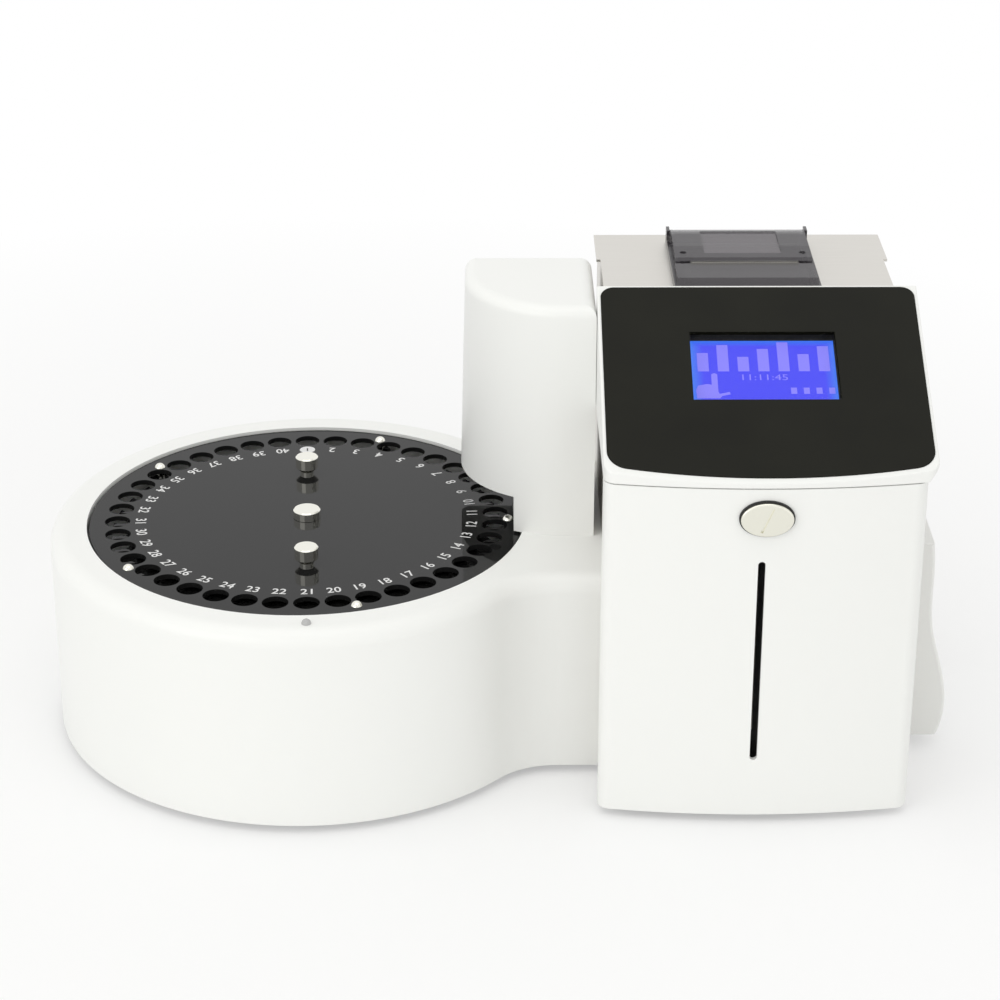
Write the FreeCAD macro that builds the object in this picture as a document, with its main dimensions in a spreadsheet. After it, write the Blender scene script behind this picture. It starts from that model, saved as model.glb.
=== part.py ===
"""Desktop electrolyte analyzer with a round autosampler beside it, in millimetres.

The frame: +Z up, +X to the right of someone facing the screen, +Y to the back.
The origin is on the table, on the axis of the sample carousel.
"""
import FreeCAD, Part
import Sketcher
import math
import os
import re
from FreeCAD import Placement, Rotation, Vector

doc = FreeCAD.newDocument("ElectrolyteAnalyzer")
sheet = doc.addObject("Spreadsheet::Sheet", "Sizes")

# Driving dimensions
# Each one is written once here, and every piece takes its sizes from these cells.
SIZES = {
    # table, feet and common fits
    "foot_height": 5.0,
    "foot_radius": 8.0,
    "sheet_thick": 1.5,
    "shell_wall": 3.0,
    "seat_gap": 0.2,
    "move_gap": 0.4,
    "run_gap": 0.06,
    # sampler drum and its neck
    "drum_radius": 154.5,
    "rim_wide": 22.0,
    "drum_height": 125.0,
    "drum_rim_round": 10.0,
    "neck_half": 86.5,
    "neck_long": 18.5,
    "neck_round": 45.0,
    "well_depth": 55.0,
    "well_floor": 3.0,
    "base_thick": 3.0,
    # sample carousel
    "tray_gap": 1.5,
    "tray_sink": 1.5,
    "plate_thick": 3.0,
    "hole_count": 40,
    "hole_inset": 16.7,
    "hole_radius": 7.65,
    "phase_turn": 3.0,
    "guide_lap": 3.7,
    "guide_thick": 2.5,
    "guide_drop": 3.5,
    "ear_radius": 6.5,
    "low_plate_inset": 5.0,
    "tube_depth": 44.0,
    "post_inset": 9.0,
    "post_radius": 2.8,
    "post_foot_radius": 4.0,
    "post_count": 5,
    "nut_radius": 3.35,
    "nut_height": 2.4,
    "nut_screw_radius": 1.6,
    "tray_hub_radius": 15.0,
    "spindle_radius": 6.0,
    "hub_plate_radius": 32.0,
    "knob_radius": 8.2,
    "knob_height": 5.5,
    "lift_knob_ring": 64.5,
    "lift_knob_radius": 7.05,
    "lift_knob_neck": 4.2,
    "lift_knob_height": 11.6,
    "lift_knob_foot": 1.6,
    "lift_knob_flare": 2.8,
    "motor_side": 42.0,
    "motor_long": 38.0,
    "shaft_radius": 2.5,
    "lamp_inset": 10.0,
    "lamp_radius": 2.8,
    # sampling tower
    "needle_inset": 21.1,
    "tower_front": 30.0,
    "tower_rear": 66.0,
    "tower_corner": 60.0,
    "tower_high": 144.0,
    "tower_gap": 0.3,
    "tower_draft": 1.35,
    "tower_round": 7.0,
    "stem_inset": 11.05,
    "arm_clear": 22.0,
    "needle_radius": 0.8,
    "needle_rest": 4.0,
    "lift_travel": 65.0,
    "rod_radius": 3.0,
    "rod_spread": 22.5,
    "screw_radius": 4.0,
    "small_motor_side": 34.0,
    "small_motor_long": 28.0,
    # main unit body
    "main_wide": 180.0,
    "main_front": 135.4,
    "main_rear": 96.0,
    "bow": 8.0,
    "corner_round": 8.0,
    "side_depth": 9.0,
    "seam_height": 213.0,
    "seam_gap": 0.7,
    "cover_inset": 4.8,
    "cover_top": 274.8,
    "cover_front": 126.0,
    "cover_ear": 2.4,
    "cover_ear_long": 44.0,
    "relief_high": 14.0,
    "relief_deep": 6.0,
    # sloped head with screen
    "panel_slope": 26.4,
    "panel_foot": 219.7,
    "head_rear": 11.0,
    "head_round": 0.9,
    "head_over": 5.6,
    "head_lift": 8.0,
    "glass_rim": 2.05,
    "glass_long": 133.3,
    "glass_bow": 9.0,
    "glass_thick": 2.5,
    "glass_proud": 0.5,
    "glass_start": 4.2,
    "glass_front_round": 13.0,
    "glass_rear_round": 7.5,
    "window_wide": 83.2,
    "window_long": 50.9,
    "window_start": 47.5,
    "window_shift": 0.7,
    "lcd_drop": 5.0,
    # front door with slot and lock
    "slot_wide": 4.2,
    "slot_shift": 1.7,
    "slot_low": 41.4,
    "slot_high": 168.2,
    "lock_drop": 18.0,
    "lock_half_wide": 14.7,
    "lock_half_high": 10.0,
    "lock_thick": 3.0,
    "lock_groove": 1.6,
    "groove_long": 16.0,
    "groove_lean": 23.0,
    "lock_shaft": 4.0,
    "hinge_height": 13.0,
    "hinge_back": 134.0,
    "hinge_spread": 40.0,
    "hinge_pin": 2.0,
    "hinge_lug": 6.0,
    # modules behind the door
    "plate_back": 86.0,
    "shelf_drop": 7.0,
    "electrode_wide": 14.0,
    "electrode_high": 34.0,
    "electrode_low": 108.0,
    "electrode_count": 4,
    "pump_inset": 45.0,
    "pump_height": 78.0,
    "pump_side": 62.0,
    "pump_deep": 22.0,
    "pump_bore": 22.0,
    "roller_radius": 4.5,
    "roller_ring": 12.5,
    "probe_back": 122.0,
    "probe_height": 172.0,
    "probe_long": 122.0,
    "probe_radius": 1.0,
    "probe_hub": 5.0,
    # reagent pack in the right side
    "pack_front": 60.0,
    "pack_long": 108.0,
    "pack_low": 10.0,
    "pack_high": 128.0,
    "pack_top_out": 19.0,
    "pack_waist_out": 21.5,
    "pack_bulge_out": 31.5,
    "pack_toe_out": 28.0,
    "pack_inside": 38.0,
    "pack_margin": 6.0,
    # printer in the top
    "printer_wide": 85.5,
    "printer_shift": 1.5,
    "printer_front": 9.0,
    "printer_rear": 83.0,
    "deck_high": 9.2,
    "deck_long": 29.0,
    "lid_pivot_back": 78.0,
    "lid_pivot_high": 7.8,
    "lid_front": 24.0,
    "lid_thick": 2.5,
    "lid_pin": 1.8,
    "roll_radius": 19.0,
    "roll_wide": 57.0,
    "roll_core": 6.5,
    "bucket_deep": 42.0,
    "platen_radius": 3.5,
    "tear_wide": 64.0,
    "tear_teeth": 40,
    # rear panel
    "inlet_wide": 40.0,
    "inlet_high": 28.0,
    "rocker_wide": 13.0,
    "rocker_high": 19.0,
    "rocker_pin": 1.5,
}
# Sizes that follow from the ones above, as formulas in the same sheet
FOLLOWING = {
    "main_left": "drum_radius + neck_long",
    "well_radius": "drum_radius - rim_wide",
    "tray_radius": "well_radius - tray_gap",
    "hole_ring": "tray_radius - hole_inset",
    "guide_radius": "hole_ring + guide_lap",
    "low_plate_radius": "tray_radius - low_plate_inset",
    "post_ring": "tray_radius - post_inset",
    "lamp_ring": "well_radius + lamp_inset",
    "tower_left": "hole_ring * cos(phase_turn * 1 deg) - needle_inset",
    "stem_left": "hole_ring * cos(phase_turn * 1 deg) + stem_inset",
    "glass_wide": "main_wide + head_over - 2 * glass_rim",
    "lock_height": "seam_height - lock_drop",
    "shelf_height": "seam_height - shelf_drop",
    "pump_x": "main_left + main_wide - pump_inset",
}
ROWS = {alias: str(value) for alias, value in SIZES.items()}
ROWS.update({alias: "=" + formula for alias, formula in FOLLOWING.items()})
for row, (alias, value) in enumerate(ROWS.items(), start=1):
    sheet.set("A%d" % row, alias)
    sheet.set("B%d" % row, value)
    sheet.setAlias("B%d" % row, alias)
doc.recompute()

# Places worked out from the driving dimensions
DRUM_TOP = "(foot_height + drum_height)"
WELL_FLOOR = "(foot_height + drum_height - well_depth)"
TRAY_TOP = "(foot_height + drum_height - tray_sink)"
TRAY_UNDER = "(foot_height + drum_height - tray_sink - plate_thick)"
GUIDE_TOP = "(foot_height + drum_height - tray_sink - plate_thick - guide_drop)"
LOW_PLATE_TOP = "(foot_height + drum_height - tray_sink - tube_depth)"
SAMPLE_X = "(hole_ring * cos(phase_turn * 1 deg))"
SAMPLE_Y = "(hole_ring * sin(phase_turn * 1 deg))"
MID = "(main_left + main_wide / 2)"
RIGHT = "(main_left + main_wide)"
HEAD_MID = "(main_left + (main_wide + head_over) / 2)"
SLOT_X = "(main_left + main_wide / 2 - slot_shift)"
PRINTER_MID = "(main_left + main_wide / 2 - printer_shift)"
COVER_LEFT = "(main_left + cover_inset)"
COVER_RIGHT = "(main_left + main_wide - cover_inset)"
TOWER_RIGHT = "(main_left - tower_gap)"
TOWER_TOP = "(foot_height + drum_height + tower_high)"
ARM_UNDER = "(foot_height + drum_height + arm_clear)"
PAN_TOP = "(foot_height + base_thick)"
LID_PIVOT_Z = "(cover_top + lid_pivot_high)"
DOOR_TOP = "(seam_height - seam_gap)"
DOOR_FACE = "(-main_front - bow)"
BOW_RADIUS = "(main_wide ^ 2 / (8 * bow) + bow / 2)"
SLOPE = "tan(panel_slope * 1 deg)"

WORD = re.compile(r"[a-z][a-z_]+")


def in_sheet(match):
    word = match.group(0)
    return "Sizes." + word if word in ROWS else word


def bind(thing, path, text):
    """Tie one property of a piece to the sheet."""
    thing.setExpression(path, WORD.sub(in_sheet, text))


def size(alias):
    return float(sheet.get(alias))


def put(thing, x="0", y="0", z="0"):
    bind(thing, "Placement.Base.x", x)
    bind(thing, "Placement.Base.y", y)
    bind(thing, "Placement.Base.z", z)


# Plain solids
def box(name, x0, x1, y0, y1, z0, z1):
    made = doc.addObject("Part::Box", name)
    bind(made, "Length", "(%s) - (%s)" % (x1, x0))
    bind(made, "Width", "(%s) - (%s)" % (y1, y0))
    bind(made, "Height", "(%s) - (%s)" % (z1, z0))
    put(made, x0, y0, z0)
    return made


TURNS = {
    "x": Rotation(Vector(0, 1, 0), 90),
    "y": Rotation(Vector(1, 0, 0), -90),
    "z": Rotation(),
}


def rod(name, radius, length, x, y, z, axis="z"):
    made = doc.addObject("Part::Cylinder", name)
    made.Placement = Placement(Vector(), TURNS[axis])
    bind(made, "Radius", radius)
    bind(made, "Height", length)
    put(made, x, y, z)
    return made


def join(name, pieces):
    made = doc.addObject("Part::MultiFuse", name)
    made.Shapes = pieces
    made.Refine = True
    return made


def group(name, pieces):
    made = doc.addObject("Part::Compound", name)
    made.Links = pieces
    return made


def overlap(name, pieces):
    made = doc.addObject("Part::MultiCommon", name)
    made.Shapes = pieces
    return made


def cut(name, base, tools):
    made = doc.addObject("Part::Cut", name)
    made.Base = base
    made.Tool = tools[0] if len(tools) == 1 else join(name + "_tools", tools)
    return made


def round_edges(name, base, radius, pick):
    """Round the edges of base that pick chooses."""
    doc.recompute()
    chosen = [n for n, edge in enumerate(base.Shape.Edges, start=1) if pick(edge)]
    made = doc.addObject("Part::Fillet", name)
    made.Base = base
    made.Edges = [(n, radius, radius) for n in chosen]
    return made


# Bodies made from sketches
def origin_plane(body, role):
    return next(item for item in body.Origin.OriginFeatures if item.Role == role)


def sketch(body, name, role="XY_Plane", lift="0"):
    made = body.newObject("Sketcher::SketchObject", name)
    made.AttachmentSupport = (origin_plane(body, role), [""])
    made.MapMode = "FlatFace"
    bind(made, "AttachmentOffset.Base.z", lift)
    return made


def pin_point(flat, item, point, x, y):
    """Hold one point of a sketch at an expression in x and one in y."""
    for kind, text in (("DistanceX", x), ("DistanceY", y)):
        number = flat.addConstraint(Sketcher.Constraint(kind, -1, 1, item, point, 1.0))
        bind(flat, "Constraints[%d]" % number, text)


def circle(flat, radius, x="0", y="0"):
    item = flat.addGeometry(Part.Circle(Vector(1, 1, 0), Vector(0, 0, 1), 5.0), False)
    pin_point(flat, item, 3, x, y)
    number = flat.addConstraint(Sketcher.Constraint("Radius", item, 5.0))
    bind(flat, "Constraints[%d]" % number, radius)


def polygon(flat, corners):
    count = len(corners)
    step = 2 * math.pi / count
    spots = [Vector(9 * math.cos(step * n), 9 * math.sin(step * n), 0) for n in range(count)]
    first = flat.GeometryCount
    for n in range(count):
        flat.addGeometry(Part.LineSegment(spots[n], spots[(n + 1) % count]), False)
    for n in range(count):
        after = first + (n + 1) % count
        flat.addConstraint(Sketcher.Constraint("Coincident", first + n, 2, after, 1))
    for n, (x, y) in enumerate(corners):
        pin_point(flat, first + n, 1, x, y)


def rectangle(flat, x0, x1, y0, y1):
    polygon(flat, [(x0, y0), (x1, y0), (x1, y1), (x0, y1)])


def new_body(name):
    return doc.addObject("PartDesign::Body", name)


def pad(body, flat, length, name):
    made = body.newObject("PartDesign::Pad", name)
    made.Profile = flat
    bind(made, "Length", length)
    return made


def pocket(body, flat, length, name, reverse=False):
    made = body.newObject("PartDesign::Pocket", name)
    made.Profile = flat
    made.Reversed = reverse
    bind(made, "Length", length)
    return made


def soften(body, base, radius, name, pick):
    """Round the edges of the body's last feature that pick chooses."""
    doc.recompute()
    chosen = ["Edge%d" % n for n, edge in enumerate(base.Shape.Edges, start=1) if pick(edge)]
    made = body.newObject("PartDesign::Fillet", name)
    made.Base = (base, chosen)
    bind(made, "Radius", radius)
    return made


def repeat_round(body, feature, count, name):
    made = body.newObject("PartDesign::PolarPattern", name)
    made.Originals = [feature]
    made.Axis = (origin_plane(body, "Z_Axis"), [""])
    made.Angle = 360.0
    bind(made, "Occurrences", count)
    body.Tip = made
    return made


# Ways to choose edges
def is_upright(edge):
    bounds = edge.BoundBox
    return bounds.XLength < 0.01 and bounds.YLength < 0.01 and bounds.ZLength > 1


def is_tall(edge):
    """A long edge that stands upright or leans a little, as the draft makes it."""
    bounds = edge.BoundBox
    return bounds.ZLength > 8 * max(bounds.XLength, bounds.YLength) and bounds.ZLength > 1


def is_level(edge, height):
    bounds = edge.BoundBox
    return abs(bounds.ZMin - height) < 0.01 and abs(bounds.ZMax - height) < 0.01


def middle(edge):
    return edge.valueAt((edge.FirstParameter + edge.LastParameter) / 2)


def bowed_block(name, inset, y_back, z0, z1, over="0"):
    """A block as wide as the main unit, less inset all round, with a bowed front."""
    slab = box(name + "_slab", "main_left + " + inset, RIGHT + " + " + over + " - " + inset,
               DOOR_FACE + " + " + inset, y_back, z0, z1)
    bulge = rod(name + "_bulge", BOW_RADIUS + " - " + inset, "(%s) - (%s)" % (z1, z0),
                MID, DOOR_FACE + " + " + BOW_RADIUS, z0)
    return overlap(name, [slab, bulge])


def front_corner(edge):
    return is_upright(edge) and edge.BoundBox.YMax < -size("main_front") + size("corner_round")


# The sampler's drum: one moulded shell whose neck flows into the drum
def drum_form(name, inset, low, high):
    """The plan of drum and neck, drawn in by inset, as a block of the given height."""
    body = new_body(name)
    plan = sketch(body, name + "_round_plan", lift=low)
    circle(plan, "drum_radius - " + inset)
    pad(body, plan, high, name + "_round")
    neck_plan = sketch(body, name + "_neck_plan", lift=low)
    end = COVER_LEFT if inset == "0" else COVER_LEFT + " - shell_wall"
    rectangle(neck_plan, "0", end, inset + " - neck_half", "neck_half - " + inset)
    neck = pad(body, neck_plan, high, name + "_neck")
    flow = soften(body, neck, "neck_round + " + inset, name + "_flow",
                  lambda e: is_upright(e) and 0 < middle(e).x < size("drum_radius"))
    return body, flow


def make_drum_housing():
    body, flow = drum_form("drum_outer", "0", "foot_height", "drum_height")
    doc.recompute()
    top = size("foot_height") + size("drum_height")
    join_x = size("main_left") + size("cover_inset")
    soften(body, flow, "drum_rim_round", "rim",
           lambda e: is_level(e, top) and e.BoundBox.XMax - e.BoundBox.XMin > 1
           and e.BoundBox.XMin < join_x - 1)
    well_plan = sketch(body, "well_plan", lift=DRUM_TOP)
    circle(well_plan, "well_radius")
    pocket(body, well_plan, "well_depth", "well")
    spindle_plan = sketch(body, "spindle_plan", lift=WELL_FLOOR)
    circle(spindle_plan, "shaft_radius + 3")
    pocket(body, spindle_plan, "well_floor + 1", "spindle_hole")
    lamp_plan = sketch(body, "lamp_plan", lift=DRUM_TOP)
    circle(lamp_plan, "lamp_radius - 0.8",
           "lamp_ring * sin(phase_turn * 1 deg)", "-lamp_ring * cos(phase_turn * 1 deg)")
    pocket(body, lamp_plan, "shell_wall + 1", "lamp_hole")
    # The hollow rises in two steps, so that the wall under the rounded rim stays even
    wide, _ = drum_form("hollow_wide", "shell_wall", "0", DRUM_TOP + " - drum_rim_round")
    narrow, _ = drum_form("hollow_narrow", "drum_rim_round", "0", DRUM_TOP + " - shell_wall")
    cup = rod("well_cup", "well_radius" + " + shell_wall", "drum_height",
              "0", "0", WELL_FLOOR + " - well_floor")
    hollow = cut("drum_hollow", join("hollow_steps", [wide, narrow]), [cup])
    cut("drum_housing", body, [hollow])


def make_drum_base():
    drum_form("drum_base_plate", "shell_wall", "foot_height", "base_thick")


def make_feet():
    ring = "(drum_radius - foot_radius * 3)"
    pads = []
    for n in range(4):
        angle = "%d deg" % (45 + 90 * n)
        pads.append(rod("sampler_foot_%d" % n, "foot_radius", "foot_height",
                        ring + " * cos(" + angle + ")", ring + " * sin(" + angle + ")", "0"))
    pads.append(rod("sampler_foot_middle", "foot_radius", "foot_height", "0", "0", "0"))
    group("sampler_feet", pads)
    pads = []
    for n in range(4):
        side = COVER_LEFT + " + foot_radius * 2" if n % 2 else COVER_RIGHT + " - foot_radius * 2"
        back = "main_rear - foot_radius * 2" if n > 1 else "foot_radius * 2 - plate_back - 30"
        pads.append(rod("main_foot_%d" % n, "foot_radius", "foot_height", side, back, "0"))
    group("main_feet", pads)


def ring_place(ring, count, n, start):
    """Where the nth of count places on a ring lies, turned from the start angle."""
    angle = "((%s + phase_turn + 360 * %d / %s) * 1 deg)" % (start, n, count)
    return ring + " * cos" + angle, ring + " * sin" + angle


POST_START = "(180 / hole_count * 15)"


# The sample carousel, lifted out by its two knobs
def holed_plate(name, radius, thick, top, hole, ears):
    body = new_body(name)
    plan = sketch(body, name + "_plan", lift=top + " - " + thick)
    circle(plan, radius)
    plate = pad(body, plan, thick, name + "_disc")
    if ears:
        ear_plan = sketch(body, name + "_ear_plan", lift=top + " - " + thick)
        x, y = ring_place("post_ring", "post_count", 0, POST_START)
        circle(ear_plan, "ear_radius", x, y)
        ear = pad(body, ear_plan, thick, name + "_ear")
        repeat_round(body, ear, "post_count", name + "_ears")
    hole_plan = sketch(body, name + "_hole_plan", lift=top)
    circle(hole_plan, "hole_radius", SAMPLE_X, SAMPLE_Y)
    holes = pocket(body, hole_plan, thick + " + 1", name + "_hole")
    repeat_round(body, holes, "hole_count", name + "_holes")
    post_plan = sketch(body, name + "_post_plan", lift=top)
    x, y = ring_place("post_ring", "post_count", 0, POST_START)
    circle(post_plan, hole, x, y)
    posts = pocket(body, post_plan, thick + " + 1", name + "_post")
    repeat_round(body, posts, "post_count", name + "_posts")
    return body


def make_tray():
    top = holed_plate("tray_top_plate", "tray_radius", "plate_thick", TRAY_TOP,
                      "nut_screw_radius + 0.1", False)
    knob_plan = sketch(top, "top_knob_plan", lift=TRAY_TOP)
    circle(knob_plan, "spindle_radius + move_gap")
    for side in (-1, 1):
        circle(knob_plan, "lift_knob_neck / 2",
               "%d * lift_knob_ring * sin(phase_turn * 1 deg)" % -side,
               "%d * lift_knob_ring * cos(phase_turn * 1 deg)" % side)
    pocket(top, knob_plan, "plate_thick + 1", "top_knob_holes")
    guide = holed_plate("tray_guide_plate", "guide_radius", "guide_thick", GUIDE_TOP,
                        "post_radius + 0.1", True)
    centre_plan = sketch(guide, "guide_centre_plan", lift=GUIDE_TOP)
    circle(centre_plan, "tray_hub_radius + seat_gap")
    pocket(guide, centre_plan, "guide_thick + 1", "guide_centre")
    low = new_body("tray_bottom_plate")
    low_plan = sketch(low, "low_plan", lift=LOW_PLATE_TOP + " - plate_thick")
    circle(low_plan, "low_plate_radius")
    circle(low_plan, "spindle_radius + move_gap")
    pad(low, low_plan, "plate_thick", "low_disc")
    posts = []
    nuts = []
    for n in range(int(size("post_count"))):
        x, y = ring_place("post_ring", "post_count", n, POST_START)
        foot = rod("post_foot_%d" % n, "post_foot_radius",
                   GUIDE_TOP + " - guide_thick - " + LOW_PLATE_TOP, x, y, LOW_PLATE_TOP)
        neck = rod("post_neck_%d" % n, "post_radius", TRAY_UNDER + " - " + LOW_PLATE_TOP,
                   x, y, LOW_PLATE_TOP)
        posts.append(join("post_%d" % n, [foot, neck]))
        nuts.append(make_dome_nut(n, x, y))
    group("tray_posts", posts)
    group("tray_dome_nuts", nuts)
    outer = rod("hub_outer", "tray_hub_radius", TRAY_UNDER + " - " + LOW_PLATE_TOP,
                "0", "0", LOW_PLATE_TOP)
    inner = rod("hub_inner", "spindle_radius + move_gap", TRAY_UNDER + " - " + LOW_PLATE_TOP + " + 2",
                "0", "0", LOW_PLATE_TOP + " - 1")
    cut("tray_hub", outer, [inner])


def make_dome_nut(n, x, y):
    """A low domed nut on the plate, with its screw in the plate's hole."""
    ball_radius = "((nut_radius ^ 2 + nut_height ^ 2) / (2 * nut_height))"
    ball = doc.addObject("Part::Sphere", "nut_ball_%d" % n)
    bind(ball, "Radius", ball_radius)
    put(ball, x, y, TRAY_TOP + " + nut_height - " + ball_radius)
    block = rod("nut_block_%d" % n, "nut_radius", "nut_height", x, y, TRAY_TOP)
    dome = overlap("nut_dome_%d" % n, [ball, block])
    screw = rod("nut_screw_%d" % n, "nut_screw_radius", "plate_thick + 0.5", x, y, TRAY_UNDER)
    return join("nut_%d" % n, [dome, screw])


KNOB_EDGE = "0.6"


def turned(name, profile, x="0", y="0"):
    """A body turned from a half profile given as radius and height pairs."""
    body = new_body(name)
    flat = sketch(body, name + "_profile", role="XZ_Plane")
    polygon(flat, profile)
    made = body.newObject("PartDesign::Revolution", name + "_turn")
    made.Profile = flat
    made.ReferenceAxis = (flat, ["V_Axis"])
    made.Angle = 360.0
    put(body, x, y)
    return body


def make_knobs():
    """Turned knobs: a low one on the spindle and two mushroom ones to lift the tray."""
    low = TRAY_TOP + " + seat_gap"
    top = TRAY_TOP + " + knob_height"
    turned("centre_knob", [("0", low), ("knob_radius", low), ("knob_radius", top + " - " + KNOB_EDGE),
                           ("knob_radius - " + KNOB_EDGE, top), ("0", top)])
    stem = "(lift_knob_neck / 2 - 0.1)"
    top = TRAY_TOP + " + lift_knob_height"
    mushroom = [("0", TRAY_UNDER), (stem, TRAY_UNDER), (stem, TRAY_TOP), ("lift_knob_neck", TRAY_TOP),
                ("lift_knob_neck", TRAY_TOP + " + lift_knob_foot"),
                ("lift_knob_radius", TRAY_TOP + " + lift_knob_foot + lift_knob_flare"),
                ("lift_knob_radius", top + " - " + KNOB_EDGE),
                ("lift_knob_radius - " + KNOB_EDGE, top), ("0", top)]
    pair = []
    for n, side in enumerate((-1, 1)):
        pair.append(turned("lifting_knob_%d" % n, mushroom,
                           "%d * lift_knob_ring * sin(phase_turn * 1 deg)" % -side,
                           "%d * lift_knob_ring * cos(phase_turn * 1 deg)" % side))
    group("lifting_knobs", pair)


def make_drive():
    """The motor under the well, its shaft, and the hub that the tray drops onto."""
    half = "motor_side / 2"
    motor_top = WELL_FLOOR + " - well_floor"
    shell = box("motor_shell", "-" + half, half, "-" + half, half, motor_top + " - motor_long", motor_top)
    bore = rod("motor_bore", "shaft_radius + run_gap", "motor_long / 2", "0", "0",
               motor_top + " - motor_long / 2 + 1")
    cut("carousel_motor", shell, [bore])
    rod("motor_shaft", "shaft_radius", "well_floor + motor_long / 2 + 2", "0", "0",
        motor_top + " - motor_long / 2 + 1.5")
    plate_low = WELL_FLOOR + " + move_gap + 0.4"
    plate_high = LOW_PLATE_TOP + " - plate_thick"
    flange = rod("hub_flange", "hub_plate_radius", "(%s) - (%s)" % (plate_high, plate_low),
                 "0", "0", plate_low)
    spigot = rod("hub_spigot", "spindle_radius", TRAY_TOP + " + 0.2 - (" + plate_low + ")",
                 "0", "0", plate_low)
    socket = rod("hub_socket", "shaft_radius + 0.03", "2.8 + 1", "0", "0", plate_low + " - 1")
    cut("drive_hub", join("hub_solid", [flange, spigot]), [socket])


def make_lamp():
    x = "lamp_ring * sin(phase_turn * 1 deg)"
    y = "-lamp_ring * cos(phase_turn * 1 deg)"
    ball = doc.addObject("Part::Sphere", "lamp_ball")
    bind(ball, "Radius", "lamp_radius")
    put(ball, x, y, DRUM_TOP)
    block = rod("lamp_block", "lamp_radius", "lamp_radius", x, y, DRUM_TOP)
    dome = overlap("lamp_dome", [ball, block])
    stem = rod("lamp_stem", "lamp_radius - 0.9", "drum_rim_round", x, y,
               DRUM_TOP + " - drum_rim_round + 0.1")
    join("status_lamp", [dome, stem])


# The sampling tower
def tower_form(name, inset, low):
    """The tower's plan with one large corner, cut away where it hangs over the tray."""
    body = new_body(name)
    plan = sketch(body, name + "_plan", lift=low)
    rectangle(plan, "tower_left + " + inset, TOWER_RIGHT + " + 10",
              "%s - tower_front" % inset, "tower_rear - " + inset)
    block = pad(body, plan, TOWER_TOP + " - " + inset + " - (" + low + ")", name + "_block")
    bind(block, "TaperAngle", "-tower_draft")
    flank = sketch(body, name + "_flank_plan", lift=TOWER_TOP)
    rectangle(flank, TOWER_RIGHT + " - " + inset, TOWER_RIGHT + " + 20", "-tower_front - 5", "tower_rear + 5")
    flat = pocket(body, flank, TOWER_TOP + " - (" + low + ") + 5", name + "_flank")
    doc.recompute()
    form = flat.Shape.BoundBox
    corner = soften(body, flat, "tower_corner - " + inset, name + "_corner",
                    lambda e: is_tall(e) and middle(e).x < form.XMin + 5 and middle(e).y < form.YMin + 5)

    def on_crown(edge):
        rear_left = is_tall(edge) and middle(edge).y > form.YMax - 5 and middle(edge).x < form.XMax - 1
        return rear_left or is_level(edge, form.ZMax)

    soften(body, corner, "tower_round - " + inset, name + "_crown", on_crown)
    step = sketch(body, name + "_step_plan", role="XZ_Plane", lift="-(tower_rear + 1)")
    rectangle(step, "tower_left - 1", "stem_left + " + inset, "0", ARM_UNDER + " + " + inset)
    pocket(body, step, "tower_rear + tower_front + 2", name + "_step", reverse=True)
    return body


def make_tower():
    outer = tower_form("tower_outer", "0", DRUM_TOP)
    inner = tower_form("tower_inner", "shell_wall", DRUM_TOP + " - 1")
    guide = rod("needle_hole", "4", "shell_wall + 2", SAMPLE_X, SAMPLE_Y, ARM_UNDER + " - 1")
    cut("tower_housing", outer, [inner, guide])
    ring = rod("guide_ring", "4 - 0.1", "shell_wall + 1.5", SAMPLE_X, SAMPLE_Y, ARM_UNDER)
    lip = rod("guide_lip", "5.5", "1.5", SAMPLE_X, SAMPLE_Y, ARM_UNDER + " + shell_wall")
    eye = rod("guide_eye", "2", "shell_wall + 3", SAMPLE_X, SAMPLE_Y, ARM_UNDER + " - 1")
    cut("needle_guide", join("guide_solid", [ring, lip]), [eye])


LIFT_X = "(" + TOWER_RIGHT + " - shell_wall - small_motor_side / 2 - 3.5)"
LIFT_Y = "22.5"
LIFT_LOW = "(foot_height + drum_height + 3)"
LIFT_HIGH = "(foot_height + drum_height + tower_high - shell_wall - tower_round - 2)"
CARRIAGE_HIGH = "(" + LIFT_HIGH + " - 6)"


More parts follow.
